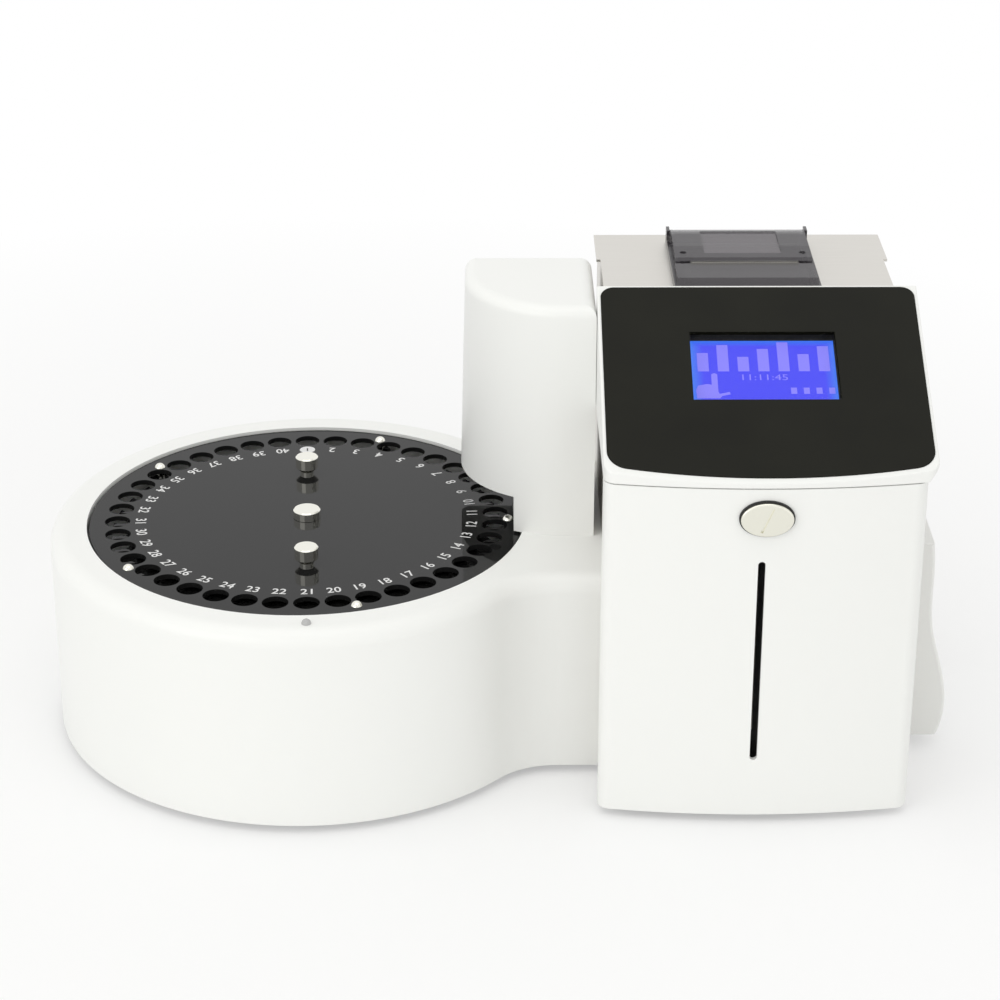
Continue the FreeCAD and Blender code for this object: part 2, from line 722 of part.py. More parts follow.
def make_lift():
    """A motor and screw that raise the needle's carriage on two rods."""
    half = "small_motor_side / 2"
    base = box("lift_foot", LIFT_X + " - " + half, LIFT_X + " + " + half, LIFT_Y + " - 36",
               LIFT_Y + " + 36", DRUM_TOP, LIFT_LOW)
    head = box("lift_head", LIFT_X + " - 12", LIFT_X + " + " + half, LIFT_Y + " - 36",
               LIFT_Y + " + 36", LIFT_HIGH, LIFT_HIGH + " + 3")
    spine = box("lift_spine", LIFT_X + " + " + half + " - 2", LIFT_X + " + " + half,
                LIFT_Y + " - 36", LIFT_Y + " + 36", DRUM_TOP, LIFT_HIGH + " + 3")
    frame = join("lift_frame_solid", [base, head, spine])
    bores = [rod("rod_bore_%d" % n, "rod_radius", "tower_high", LIFT_X,
                 LIFT_Y + " + %d * rod_spread" % side, DRUM_TOP + " + 1")
             for n, side in enumerate((-1, 1))]
    screw_bore = rod("screw_bore", "screw_radius - 1 + run_gap", "8", LIFT_X, LIFT_Y, LIFT_HIGH + " - 2")
    cut("lift_frame", frame, bores + [screw_bore])
    rods = [rod("guide_rod_%d" % n, "rod_radius", LIFT_HIGH + " + 3 - " + DRUM_TOP + " - 1", LIFT_X,
                LIFT_Y + " + %d * rod_spread" % side, DRUM_TOP + " + 1")
            for n, side in enumerate((-1, 1))]
    group("guide_rods", rods)
    motor = box("lift_motor_solid", LIFT_X + " - " + half, LIFT_X + " + " + half + " - 2 - seat_gap",
                LIFT_Y + " - " + half, LIFT_Y + " + " + half, LIFT_LOW, LIFT_LOW + " + small_motor_long")
    clear = [rod("rod_pass_%d" % n, "rod_radius + 0.5", "small_motor_long + 2", LIFT_X,
                 LIFT_Y + " + %d * rod_spread" % side, LIFT_LOW + " - 1")
             for n, side in enumerate((-1, 1))]
    bore = rod("lift_motor_bore", "screw_radius - 1 + run_gap", "small_motor_long / 2 + 1", LIFT_X, LIFT_Y,
               LIFT_LOW + " + small_motor_long / 2")
    cut("lift_motor", motor, [bore] + clear)
    tail = rod("screw_tail", "screw_radius - 1", LIFT_HIGH + " + 2.5 - " + LIFT_LOW + " - small_motor_long / 2 - 0.5",
               LIFT_X, LIFT_Y, LIFT_LOW + " + small_motor_long / 2 + 0.5")
    thread = rod("screw_thread", "screw_radius", LIFT_HIGH + " - 0.5 - " + LIFT_LOW + " - small_motor_long - 1",
                 LIFT_X, LIFT_Y, LIFT_LOW + " + small_motor_long + 1")
    join("lead_screw", [tail, thread])
    block = box("carriage_block", LIFT_X + " - 12", LIFT_X + " + " + half + " - 3", LIFT_Y + " - 32",
                LIFT_Y + " + 32", CARRIAGE_HIGH + " - 14", CARRIAGE_HIGH)
    slides = [rod("carriage_bore_%d" % n, "rod_radius + run_gap", "20", LIFT_X,
                  LIFT_Y + " + %d * rod_spread" % side, CARRIAGE_HIGH + " - 17")
              for n, side in enumerate((-1, 1))]
    nut = rod("carriage_nut_bore", "screw_radius + run_gap", "20", LIFT_X, LIFT_Y, CARRIAGE_HIGH + " - 17")
    cut("lift_carriage", block, slides + [nut])
    arm = box("arm_bar", SAMPLE_X + " - 4", LIFT_X + " - 12", SAMPLE_Y + " - 4", SAMPLE_Y + " + 4",
              CARRIAGE_HIGH + " - 10", CARRIAGE_HIGH + " - 4")
    eye = rod("arm_eye", "needle_radius", "10", SAMPLE_X, SAMPLE_Y, CARRIAGE_HIGH + " - 12")
    cut("probe_arm", arm, [eye])
    rod("sampler_needle", "needle_radius", CARRIAGE_HIGH + " - 1 - (" + ARM_UNDER + " + needle_rest)",
        SAMPLE_X, SAMPLE_Y, ARM_UNDER + " + needle_rest")


# The main unit's sheet metal
def make_cover():
    """One folded sheet: two side walls and the top behind the sloped head."""
    body = new_body("cover_body")
    low = PAN_TOP
    slope_z = "(panel_foot - 9 + " + SLOPE + " * (main_front - %s))"
    side = sketch(body, "cover_side", role="YZ_Plane", lift=COVER_LEFT)
    lip = "(head_rear + shell_wall)"
    polygon(side, [("-cover_front", low + " + relief_high"), ("-cover_front + relief_deep", low),
                   ("main_rear", low), ("main_rear", "cover_top"),
                   ("-" + lip, "cover_top"), ("-" + lip, slope_z % lip),
                   ("-cover_front", slope_z % "cover_front")])
    wall = pad(body, side, COVER_RIGHT + " - " + COVER_LEFT, "cover_fold")
    inside = sketch(body, "cover_inside", role="YZ_Plane", lift=COVER_RIGHT + " - sheet_thick")
    polygon(inside, [("-cover_front - 1", "0"), ("main_rear + 1", "0"),
                     ("main_rear + 1", "cover_top - sheet_thick"),
                     ("-" + lip, "cover_top - sheet_thick"), ("-" + lip, "cover_top + 20"),
                     ("-cover_front - 1", "cover_top + 20")])
    pocket(body, inside, COVER_RIGHT + " - " + COVER_LEFT + " - 2 * sheet_thick", "cover_hollow")
    ears = box("cover_ears", COVER_LEFT + " - cover_ear", COVER_RIGHT + " + cover_ear",
               "main_rear - cover_ear_long", "main_rear", "cover_top - sheet_thick", "cover_top")
    folded = join("cover_folded", [body, ears])
    printer_hole = box("printer_hole", PRINTER_MID + " - printer_wide / 2 + 4", PRINTER_MID + " + printer_wide / 2 - 4",
                       "5 - printer_front", "printer_rear - 5", "cover_top - 10", "cover_top + 10")
    bay_hole = box("bay_hole", COVER_RIGHT + " - 10", COVER_RIGHT + " + 10",
                   "pack_margin - pack_front - 1", "pack_long - pack_front - pack_margin + 1",
                   "pack_low + pack_margin - 1", "pack_low + pack_high - pack_margin + 1")
    cut("metal_cover", folded, [printer_hole, bay_hole])


def make_base_pan():
    pan = box("pan_floor", COVER_LEFT, COVER_RIGHT, "-cover_front + 6", "main_rear", "foot_height", PAN_TOP)
    pieces = [pan]
    holes = []
    for n, side in enumerate((-1, 1)):
        x = MID + " + %d * hinge_spread" % side
        eye = rod("lug_eye_%d" % n, "hinge_pin + 2.2", "hinge_lug", x + " - hinge_lug / 2",
                  "-hinge_back", "hinge_height", axis="x")
        arm = box("lug_arm_%d" % n, x + " - hinge_lug / 2", x + " + hinge_lug / 2", "-hinge_back",
                  "-cover_front + 14", "hinge_height - 3.6", "hinge_height + 2")
        heel = box("lug_heel_%d" % n, x + " - hinge_lug / 2", x + " + hinge_lug / 2",
                   "-cover_front + 6", "-cover_front + 14", "foot_height", "hinge_height")
        pieces += [eye, arm, heel]
        holes.append(rod("lug_bore_%d" % n, "hinge_pin + run_gap", "hinge_lug + 2",
                         x + " - hinge_lug / 2 - 1", "-hinge_back", "hinge_height", axis="x"))
    cut("base_pan", join("pan_solid", pieces), holes)


def make_rear_panel():
    sheet_back = box("rear_sheet", COVER_LEFT + " + sheet_thick + seat_gap",
                     COVER_RIGHT + " - sheet_thick - seat_gap", "main_rear - 3", "main_rear - 3 + sheet_thick",
                     PAN_TOP, "cover_top - sheet_thick - seat_gap")
    x = "(" + COVER_LEFT + " + 42)"
    rocker_x = "(" + x + " + 30)"
    inlet_hole = box("inlet_hole", x + " - 14", rocker_x + " + rocker_wide / 2 + 2.8",
                     "main_rear - 10", "main_rear + 10", "30 + 3", "30 + inlet_high - 3")
    vents = []
    for n in range(9):
        vents.append(box("vent_%d" % n, MID + " - 40", MID + " + 40", "main_rear - 10", "main_rear + 10",
                         "150 + %d * 8" % n, "150 + %d * 8 + 3.2" % n))
    cut("rear_panel", sheet_back, [inlet_hole] + vents)
    body = box("inlet_body", x + " - 14", rocker_x + " + rocker_wide / 2 + 2.8", "main_rear - 24",
               "main_rear", "30 + 3", "30 + inlet_high - 3")
    flange = box("inlet_flange", x + " - inlet_wide / 2", rocker_x + " + rocker_wide / 2 + 6",
                 "main_rear - 3 + sheet_thick", "main_rear + 0.5", "30", "30 + inlet_high")
    mouth = box("inlet_mouth", x + " - 11.5", x + " + 11.5", "main_rear - 18", "main_rear + 5",
                "44 - 7", "44 + 7")
    room = box("rocker_room", rocker_x + " - rocker_wide / 2 - 0.4", rocker_x + " + rocker_wide / 2 + 0.4",
               "main_rear - 14", "main_rear + 5", "44 - rocker_high / 2 - 0.9", "44 + rocker_high / 2 + 0.9")
    blades = [box("inlet_blade_%d" % n, x + " + %d * 7 - 1" % (n - 1), x + " + %d * 7 + 1" % (n - 1),
                  "main_rear - 19", "main_rear - 4", "42", "46")
              for n in range(3)]
    bearing = rod("rocker_bearing", "rocker_pin + run_gap", "rocker_wide + 4", rocker_x + " - rocker_wide / 2 - 2",
                  "main_rear - 8", "44", axis="x")
    shell = cut("inlet_shell", join("inlet_solid", [body, flange]), [mouth, room, bearing])
    join("power_inlet", [shell] + blades)
    make_rocker(rocker_x)


def make_rocker(x):
    """A rocker with two faces on a pin, drawn pressed at its lower end."""
    body = new_body("rocker_body")
    side = sketch(body, "rocker_side", role="YZ_Plane", lift="-rocker_wide / 2")
    reach = "(rocker_high / 2 - 0.6)"
    polygon(side, [("0", "-" + reach + " + 1"), ("0", reach + " - 1"), ("7.5", reach), ("6", "0"),
                   ("7.5", "-" + reach)])
    pad(body, side, "rocker_wide", "rocker_block")
    body.Placement = Placement(Vector(), Rotation(Vector(1, 0, 0), 8))
    put(body, x, "main_rear - 8", "44")
    pin = rod("rocker_pin_rod", "rocker_pin", "rocker_wide + 3.4", x + " - rocker_wide / 2 - 1.7",
              "main_rear - 8", "44", axis="x")
    join("power_rocker", [body, pin])


# The sloped head and its glass
def sloped_cutter(name, drop):
    """Everything above the slope, less a drop measured along its normal."""
    made = doc.addObject("Part::Box", name)
    bind(made, "Length", "main_wide + 40")
    bind(made, "Width", "main_front + main_rear + 160")
    bind(made, "Height", "cover_top")
    turn = Rotation(Vector(1, 0, 0), size("panel_slope"))
    made.Placement = Placement(Vector(), turn)
    bind(made, "Placement.Rotation.Angle", "panel_slope * 1 deg")
    start = "(-main_front - 100 * cos(panel_slope * 1 deg) + (%s) * sin(panel_slope * 1 deg))" % drop
    height = "(panel_foot - 100 * sin(panel_slope * 1 deg) - (%s) * cos(panel_slope * 1 deg))" % drop
    put(made, "main_left - 20", start, height)
    return made


def under_slant(name, inset):
    """The corner that the slanted underside leaves away where the head overhangs the side."""
    body = new_body(name)
    flat = sketch(body, name + "_plan", role="XZ_Plane", lift="head_rear - 5")
    foot = "(" + RIGHT + " - 1.2 * " + inset + ")"
    polygon(flat, [(foot, "seam_height"), (foot + " + head_over", "seam_height + head_lift"),
                   (foot + " + head_over + 20", "seam_height + head_lift"),
                   (foot + " + head_over + 20", "seam_height - 9"), (foot, "seam_height - 9")])
    pad(body, flat, "main_front + bow", name + "_block")
    return body


def make_head():
    top = "(panel_foot + 80)"
    outer = bowed_block("head_outer", "0", "-head_rear", "seam_height", top, "head_over")
    outer = round_edges("head_corners", outer, size("corner_round"), front_corner)
    wedge = cut("head_wedge", outer, [sloped_cutter("head_slope", "0"), under_slant("head_slant", "0")])
    soft = round_edges("head_soft", wedge, size("head_round"), sloped_front_edge)
    inner = bowed_block("head_inner", "shell_wall", "-head_rear - shell_wall", "seam_height - 1", top, "head_over")
    inner = round_edges("head_inner_corners", inner, size("corner_round") - size("shell_wall"),
                        front_corner)
    core = cut("head_core", inner, [sloped_cutter("head_inner_slope", "glass_thick + shell_wall"),
                                    under_slant("head_inner_slant", "shell_wall")])
    rear_gap = box("head_rear_gap", COVER_LEFT + " - seat_gap", COVER_RIGHT + " + seat_gap",
                   "-head_rear - shell_wall - 1", "-head_rear + 1", "seam_height - 1", "cover_top")
    window = panel_box("window_cut", "window_wide + 6", "window_long + 8", "window_start - 3", "-20", "20")
    hollow = cut("head_hollow", soft, [core, rear_gap, glass_block("glass_bed", "seat_gap", "20"), window])
    hollow.Label = "head_housing"
    glass = glass_block("glass_plate", "0", "glass_thick")
    glass.Label = "glass_panel"


def sloped_front_edge(edge):
    """Edges between the slope and the front and side walls, not the rear one."""
    bounds = edge.BoundBox
    foot = size("panel_foot")
    slope = math.tan(math.radians(size("panel_slope")))
    spot = middle(edge)
    on_slope = abs(spot.z - foot - slope * (spot.y + size("main_front"))) < 0.05
    return on_slope and bounds.YMin < -size("head_rear") - 1 and not is_upright(edge)


def on_panel(body_like, x, along, high):
    """Place a piece by its spot along the slope and its height over the glass bed."""
    turn = Rotation(Vector(1, 0, 0), size("panel_slope"))
    body_like.Placement = Placement(Vector(), turn)
    bind(body_like, "Placement.Rotation.Angle", "panel_slope * 1 deg")
    put(body_like, x,
        "-main_front + (%s) * cos(panel_slope * 1 deg) - (%s) * sin(panel_slope * 1 deg)" % (along, high),
        "panel_foot + (%s) * sin(panel_slope * 1 deg) + (%s) * cos(panel_slope * 1 deg)" % (along, high))


BED = "(glass_proud - glass_thick)"


def glass_block(name, grow, thick):
    """The glass outline: straight rear edge, bowed front edge, four rounded corners."""
    half = "(glass_wide / 2 + %s)" % grow
    body = new_body(name)
    plan = sketch(body, name + "_plan")
    rectangle(plan, "-" + half, half, "-glass_bow - 1 - " + grow, "glass_long + " + grow)
    pad(body, plan, thick, name + "_block")
    on_panel(body, HEAD_MID, "glass_start", BED)
    bulge = doc.addObject("Part::Cylinder", name + "_bulge")
    bind(bulge, "Radius", "glass_wide ^ 2 / (8 * glass_bow) + glass_bow / 2 + " + grow)
    bind(bulge, "Height", thick)
    on_panel(bulge, HEAD_MID, "glass_start + glass_wide ^ 2 / (8 * glass_bow) - glass_bow / 2", BED)
    bowed = overlap(name + "_bowed", [body, bulge])
    across = Vector(0, math.cos(math.radians(size("panel_slope"))), math.sin(math.radians(size("panel_slope"))))
    doc.recompute()
    reach = [middle(e).dot(across) for e in bowed.Shape.Edges if e.Length < 21 and e.Curve.TypeId == "Part::GeomLine"]
    half_way = (min(reach) + max(reach)) / 2

    def corner(edge, rear):
        straight = edge.Curve.TypeId == "Part::GeomLine" and edge.BoundBox.XLength < 0.01
        short = edge.Length < 21
        return straight and short and (middle(edge).dot(across) > half_way) == rear

    front = round_edges(name + "_front", bowed, size("glass_front_round"), lambda e: corner(e, False))
    return round_edges(name + "_rounded", front, size("glass_rear_round"), lambda e: corner(e, True))


def panel_box(name, wide, long_way, start, low, high):
    """A block square to the slope; low and high are measured over the glass bed."""
    made = doc.addObject("Part::Box", name)
    bind(made, "Length", wide)
    bind(made, "Width", long_way)
    bind(made, "Height", "(%s) - (%s)" % (high, low))
    on_panel(made, HEAD_MID + " + window_shift - (" + wide + ") / 2", "glass_start + " + start,
             BED + " + " + low)
    return made


def make_screen():
    """The display module under the window: a frame on a board, and the lit screen."""
    deep = "(glass_thick - lcd_drop - glass_proud)"
    outer = panel_box("lcd_outer", "window_wide + 14", "window_long + 16", "window_start - 7",
                      deep + " - 7", deep + " - 0.5")
    opening = panel_box("lcd_opening", "window_wide - 1.1", "window_long - 0.9", "window_start - 1",
                        deep + " - 3", deep + " + 5")
    cut("lcd_frame", outer, [opening])
    panel_box("lcd_screen", "window_wide - 1.3", "window_long - 1.1", "window_start - 0.9",
              deep + " - 3", deep)


# The front door
def make_door():
    outer = bowed_block("door_outer", "0", "side_depth - main_front", "foot_height", DOOR_TOP)
    outer = round_edges("door_corners", outer, size("corner_round"), front_corner)
    inner = bowed_block("door_inner", "shell_wall", "side_depth - main_front + 1", "foot_height - 1",
                        DOOR_TOP + " - shell_wall")
    inner = round_edges("door_inner_corners", inner, size("corner_round") - size("shell_wall"),
                        front_corner)
    skin = cut("door_skin", outer, [inner])
    ears = []
    bores = []
    for n, side in enumerate((-1, 1)):
        near = MID + " + %d * (hinge_spread + hinge_lug / 2 + move_gap)" % side
        far = MID + " + %d * (hinge_spread + hinge_lug / 2 + move_gap + 5)" % side
        left, right = (far, near) if side < 0 else (near, far)
        arm = box("ear_arm_%d" % n, left, right, "-main_front - bow / 2 - 1", "-hinge_back",
                  "hinge_height - 3.8", "hinge_height + 3.8")
        tip = rod("ear_tip_%d" % n, "3.8", "5", left, "-hinge_back", "hinge_height", axis="x")
        ears += [arm, tip]
        bores.append(rod("ear_bore_%d" % n, "hinge_pin + 0.03", "12", left + " - 3", "-hinge_back",
                         "hinge_height", axis="x"))
    half = "slot_wide / 2"
    face = DOOR_FACE + " - 2"
    slot = box("slot_run", SLOT_X + " - " + half, SLOT_X + " + " + half, face, face + " + 10",
               "slot_low + " + half, "slot_high - " + half)
    ends = [rod("slot_end_%d" % n, half, "10", SLOT_X, face, z, axis="y")
            for n, z in enumerate(("slot_low + " + half, "slot_high - " + half))]
    lock_hole = rod("lock_hole", "lock_shaft + run_gap", "10", MID, face, "lock_height", axis="y")
    cut("front_door", join("door_solid", [skin] + ears), bores + [slot, lock_hole] + ends)
    pins = []
    for n, side in enumerate((-1, 1)):
        start = MID + " + %d * hinge_spread" % side
        shift = " - hinge_lug / 2 - 0.2" if side > 0 else " - hinge_lug / 2 - move_gap - 5 + 0.2"
        pins.append(rod("hinge_pin_%d" % n, "hinge_pin", "hinge_lug + move_gap + 5", start + shift,
                        "-hinge_back", "hinge_height", axis="x"))
    group("door_hinge_pins", pins)


def make_latch():
    """An oval turn lock: its plate outside, its shaft in the door, its cam inside."""
    oval = doc.addObject("Part::Feature", "lock_oval")
    wide = size("lock_half_wide")
    high = size("lock_half_high")
    thick = size("lock_thick")
    face = -size("main_front") - size("bow") - 0.4
    mid = size("main_left") + size("main_wide") / 2
    curve = Part.Ellipse(Vector(), wide, high)
    plate = Part.Face(Part.Wire(curve.toShape())).extrude(Vector(0, 0, thick))
    plate = plate.makeFillet(0.8, [e for e in plate.Edges if is_level(e, thick)])
    plate.Placement = Placement(Vector(mid, face, size("lock_height")), Rotation(Vector(1, 0, 0), 90))
    oval.Shape = plate
    shaft = rod("lock_stem", "lock_shaft", "18.5", MID, DOOR_FACE + " - 0.6", "lock_height", axis="y")
    cut("latch_knob", join("lock_solid", [oval, shaft]), [make_coin_groove()])
    disc = rod("cam_disc", "lock_shaft + 1.2", "3", MID, "-cover_front - 2.2", "lock_height", axis="y")
    arm = box("cam_arm", MID + " - 8", MID, "-cover_front - 2.2", "-cover_front + 0.8",
              "lock_height - 3", "lock_height + 3")
    bore = rod("cam_bore", "lock_shaft + 0.03", "12", MID, "-cover_front - 8", "lock_height", axis="y")
    cut("latch_cam", join("cam_solid", [disc, arm]), [bore])


def make_coin_groove():
    """The straight groove for a coin, leaning as the lock was left."""
    body = new_body("coin_groove")
    flat = sketch(body, "coin_groove_plan", role="XZ_Plane")
    rectangle(flat, "-lock_groove / 2", "lock_groove / 2", "-groove_long / 2", "groove_long / 2")
    pad(body, flat, "2.6", "coin_groove_block")
    body.Placement = Placement(Vector(), Rotation(Vector(0, 1, 0), 20))
    bind(body, "Placement.Rotation.Angle", "groove_lean * 1 deg")
    put(body, MID, DOOR_FACE + " - 0.4 - lock_thick + 1.6", "lock_height")
    return body


# The modules behind the door
def make_front_plate():
    left = COVER_LEFT + " + sheet_thick + seat_gap"
    right = COVER_RIGHT + " - sheet_thick - seat_gap"
    wall = box("plate_wall", left, right, "-plate_back", "2 - plate_back", PAN_TOP, "shelf_height")
    shelf = box("plate_shelf", left, right, "-cover_front - 3.5", "2 - plate_back", "shelf_height - 2", "shelf_height")
    lip = box("plate_lip", MID + " - 14", MID + " + 14", "-cover_front - 5", "-cover_front - 3.5",
              "lock_height + 5.6", "shelf_height")
    motor_hole = rod("pump_shaft_hole", "shaft_radius + 3", "10", "pump_x", "-plate_back - 4", "pump_height", axis="y")
    cut("front_plate", join("plate_solid", [wall, shelf, lip]), [motor_hole])


def make_electrodes():
    left = "(" + COVER_LEFT + " + 12)"
    span = "(electrode_count * (electrode_wide + seat_gap))"
    base = box("rail_base", left + " - 5", left + " + " + span + " + 5", "-plate_back - 30", "-plate_back",
               "electrode_low - 8", "electrode_low")
    back = box("rail_back", left + " - 5", left + " + " + span + " + 5", "-plate_back - 4", "-plate_back",
               "electrode_low - 8", "electrode_low + electrode_high + 4")
    join("electrode_rail", [base, back])
    for n in range(int(size("electrode_count"))):
        x0 = left + " + %d * (electrode_wide + seat_gap)" % n
        block = box("cell_%d" % n, x0, x0 + " + electrode_wide", "-plate_back - 28", "-plate_back - 4 - seat_gap",
                    "electrode_low", "electrode_low + electrode_high")
        cap = rod("cell_cap_%d" % n, "electrode_wide / 2 - 2", "5", x0 + " + electrode_wide / 2",
                  "-plate_back - 16", "electrode_low + electrode_high")
        bore = rod("cell_bore_%d" % n, "1", "electrode_wide + 2", x0 + " - 1", "-plate_back - 16",
                   "electrode_low + 8", axis="x")
        cut("electrode_%d" % (n + 1), join("cell_solid_%d" % n, [block, cap]), [bore])


def make_pump():
    """A peristaltic pump: housing, motor behind the plate, rotor and three rollers."""
    half = "pump_side / 2"
    block = box("pump_block", "pump_x - " + half, "pump_x + " + half, "-plate_back - pump_deep", "-plate_back",
                "pump_height - " + half, "pump_height + " + half)
    bore = rod("pump_cavity", "pump_bore", "pump_deep - 3", "pump_x", "-plate_back - pump_deep - 1", "pump_height", axis="y")
    eye = rod("pump_eye", "shaft_radius + 0.6", "pump_deep + 4", "pump_x", "-plate_back - pump_deep - 2", "pump_height", axis="y")
    cut("pump_housing", block, [bore, eye])
    motor = rod("pump_motor_solid", "15", "24", "pump_x", "2 - plate_back", "pump_height", axis="y")
    motor_eye = rod("pump_motor_eye", "shaft_radius + run_gap", "12", "pump_x", "1 - plate_back", "pump_height", axis="y")
    cut("pump_motor", motor, [motor_eye])
    front = "(-plate_back - pump_deep + 1)"
    disc_front = rod("rotor_front", "roller_ring + 3", "2.5", "pump_x", front, "pump_height", axis="y")
    disc_back = rod("rotor_back", "roller_ring + 3", "2", "pump_x", front + " + 14", "pump_height", axis="y")
    core = rod("rotor_core", "shaft_radius + 2.5", "16", "pump_x", front, "pump_height", axis="y")
    stub = rod("rotor_shaft", "shaft_radius", "31", "pump_x", front, "pump_height", axis="y")
    pieces = [disc_front, disc_back, core, stub]
    for n in range(3):
        angle = "((90 + 120 * %d) * 1 deg)" % n
        x = "pump_x + roller_ring * cos" + angle
        z = "pump_height + roller_ring * sin" + angle
        pieces.append(rod("roller_pin_%d" % n, "1.5", "15", x, front, z, axis="y"))
        outer = rod("roller_outer_%d" % n, "roller_radius", "10.7", x, front + " + 2.9", z, axis="y")
        inner = rod("roller_inner_%d" % n, "1.5 + run_gap", "14", x, front + " + 1", z, axis="y")
        cut("pump_roller_%d" % (n + 1), outer, [inner])
    join("pump_rotor", pieces)


def make_probe():
    """The manual sampling probe that swings out through the slot in the door."""
    x = SLOT_X
    arm_low = "probe_height - 7"
    arm_high = "probe_height + 7"
    ears = []
    for n, side in enumerate((-1, 1)):
        near = x + " + %d * (probe_hub + move_gap)" % side
        far = x + " + %d * (probe_hub + move_gap + 3)" % side
        left, right = (far, near) if side < 0 else (near, far)
        ears.append(box("bracket_ear_%d" % n, left, right, "-probe_back - 5", "-plate_back", arm_low, arm_high))
    back = box("bracket_back", x + " - probe_hub - move_gap - 3", x + " + probe_hub + move_gap + 3",
               "-plate_back - 4", "-plate_back", arm_low, arm_high)
    pin_hole = rod("bracket_bore", "1.5 + run_gap", "2 * probe_hub + 10", x + " - probe_hub - 5",
                   "-probe_back", "probe_height", axis="x")
    cut("probe_bracket", join("bracket_solid", ears + [back]), [pin_hole])
    hub = rod("probe_hub_solid", "probe_hub", "2 * probe_hub", x + " - probe_hub", "-probe_back", "probe_height", axis="x")
    pin = rod("probe_pin", "1.5", "2 * probe_hub + 2 * move_gap + 5", x + " - probe_hub - move_gap - 2.5",
              "-probe_back", "probe_height", axis="x")
    sleeve = rod("probe_sleeve", "probe_radius + 0.35", "12", x, "-probe_back", "probe_height - probe_hub - 8")
    needle = rod("probe_tube", "probe_radius", "probe_long - 4", x, "-probe_back", "probe_height - probe_long")
    join("sample_probe", [hub, pin, sleeve, needle])


# The reagent pack in its bay
def make_reagent():
    wall = COVER_RIGHT + " + move_gap"
    body = doc.addObject("Part::Feature", "pack_outer")
    x0 = size("main_left") + size("main_wide") - size("cover_inset") + size("move_gap")
    right = size("main_left") + size("main_wide")
    low = size("pack_low")
    high = size("pack_high")
    front = -size("pack_front")
    outline = [(right + size("pack_toe_out"), low),
               (right + size("pack_bulge_out"), low + high * 0.22),
               (right + (size("pack_bulge_out") + size("pack_waist_out")) / 2 + 1, low + high * 0.38),
               (right + size("pack_waist_out"), low + high * 0.57),
               (right + (size("pack_top_out") + size("pack_waist_out")) / 2, low + high * 0.84),
               (right + size("pack_top_out"), low + high)]
    spline = Part.BSplineCurve()
    spline.interpolate([Vector(x, front, z) for x, z in outline])
    edge = spline.toShape()
    start = Vector(x0, front, low)
    end = Vector(x0, front, low + high)
    first = edge.Vertexes[0].Point
    last = edge.Vertexes[-1].Point
    wire = Part.Wire([Part.makeLine(start, first), edge, Part.makeLine(last, end), Part.makeLine(end, start)])
    solid = Part.Face(wire).extrude(Vector(0, size("pack_long"), 0))
    sharp = [e for e in solid.Edges if e.BoundBox.XMin > x0 + 2 and e.BoundBox.YLength < 1 and e.Length > high / 2]
    body.Shape = solid.makeFillet(2.0, sharp)
    tongue = box("pack_tongue", COVER_RIGHT + " - pack_inside", wall + " + 1", "pack_margin - pack_front",
                 "pack_long - pack_front - pack_margin", "pack_low + pack_margin",
                 "pack_low + pack_high - pack_margin")
    join("reagent_pack", [body, tongue])
    gap = "0.6"
    shell = box("bay_shell", COVER_RIGHT + " - pack_inside - 4", COVER_RIGHT + " - sheet_thick",
                "pack_margin - pack_front - 3", "pack_long - pack_front - pack_margin + 3",
                "pack_low + pack_margin - 3", "pack_low + pack_high - pack_margin + 3")
    room = box("bay_room", COVER_RIGHT + " - pack_inside - " + gap, COVER_RIGHT + " + 5",
               "pack_margin - pack_front - " + gap, "pack_long - pack_front - pack_margin + " + gap,
               "pack_low + pack_margin - " + gap, "pack_low + pack_high - pack_margin + " + gap)
    cut("reagent_bay", shell, [room])


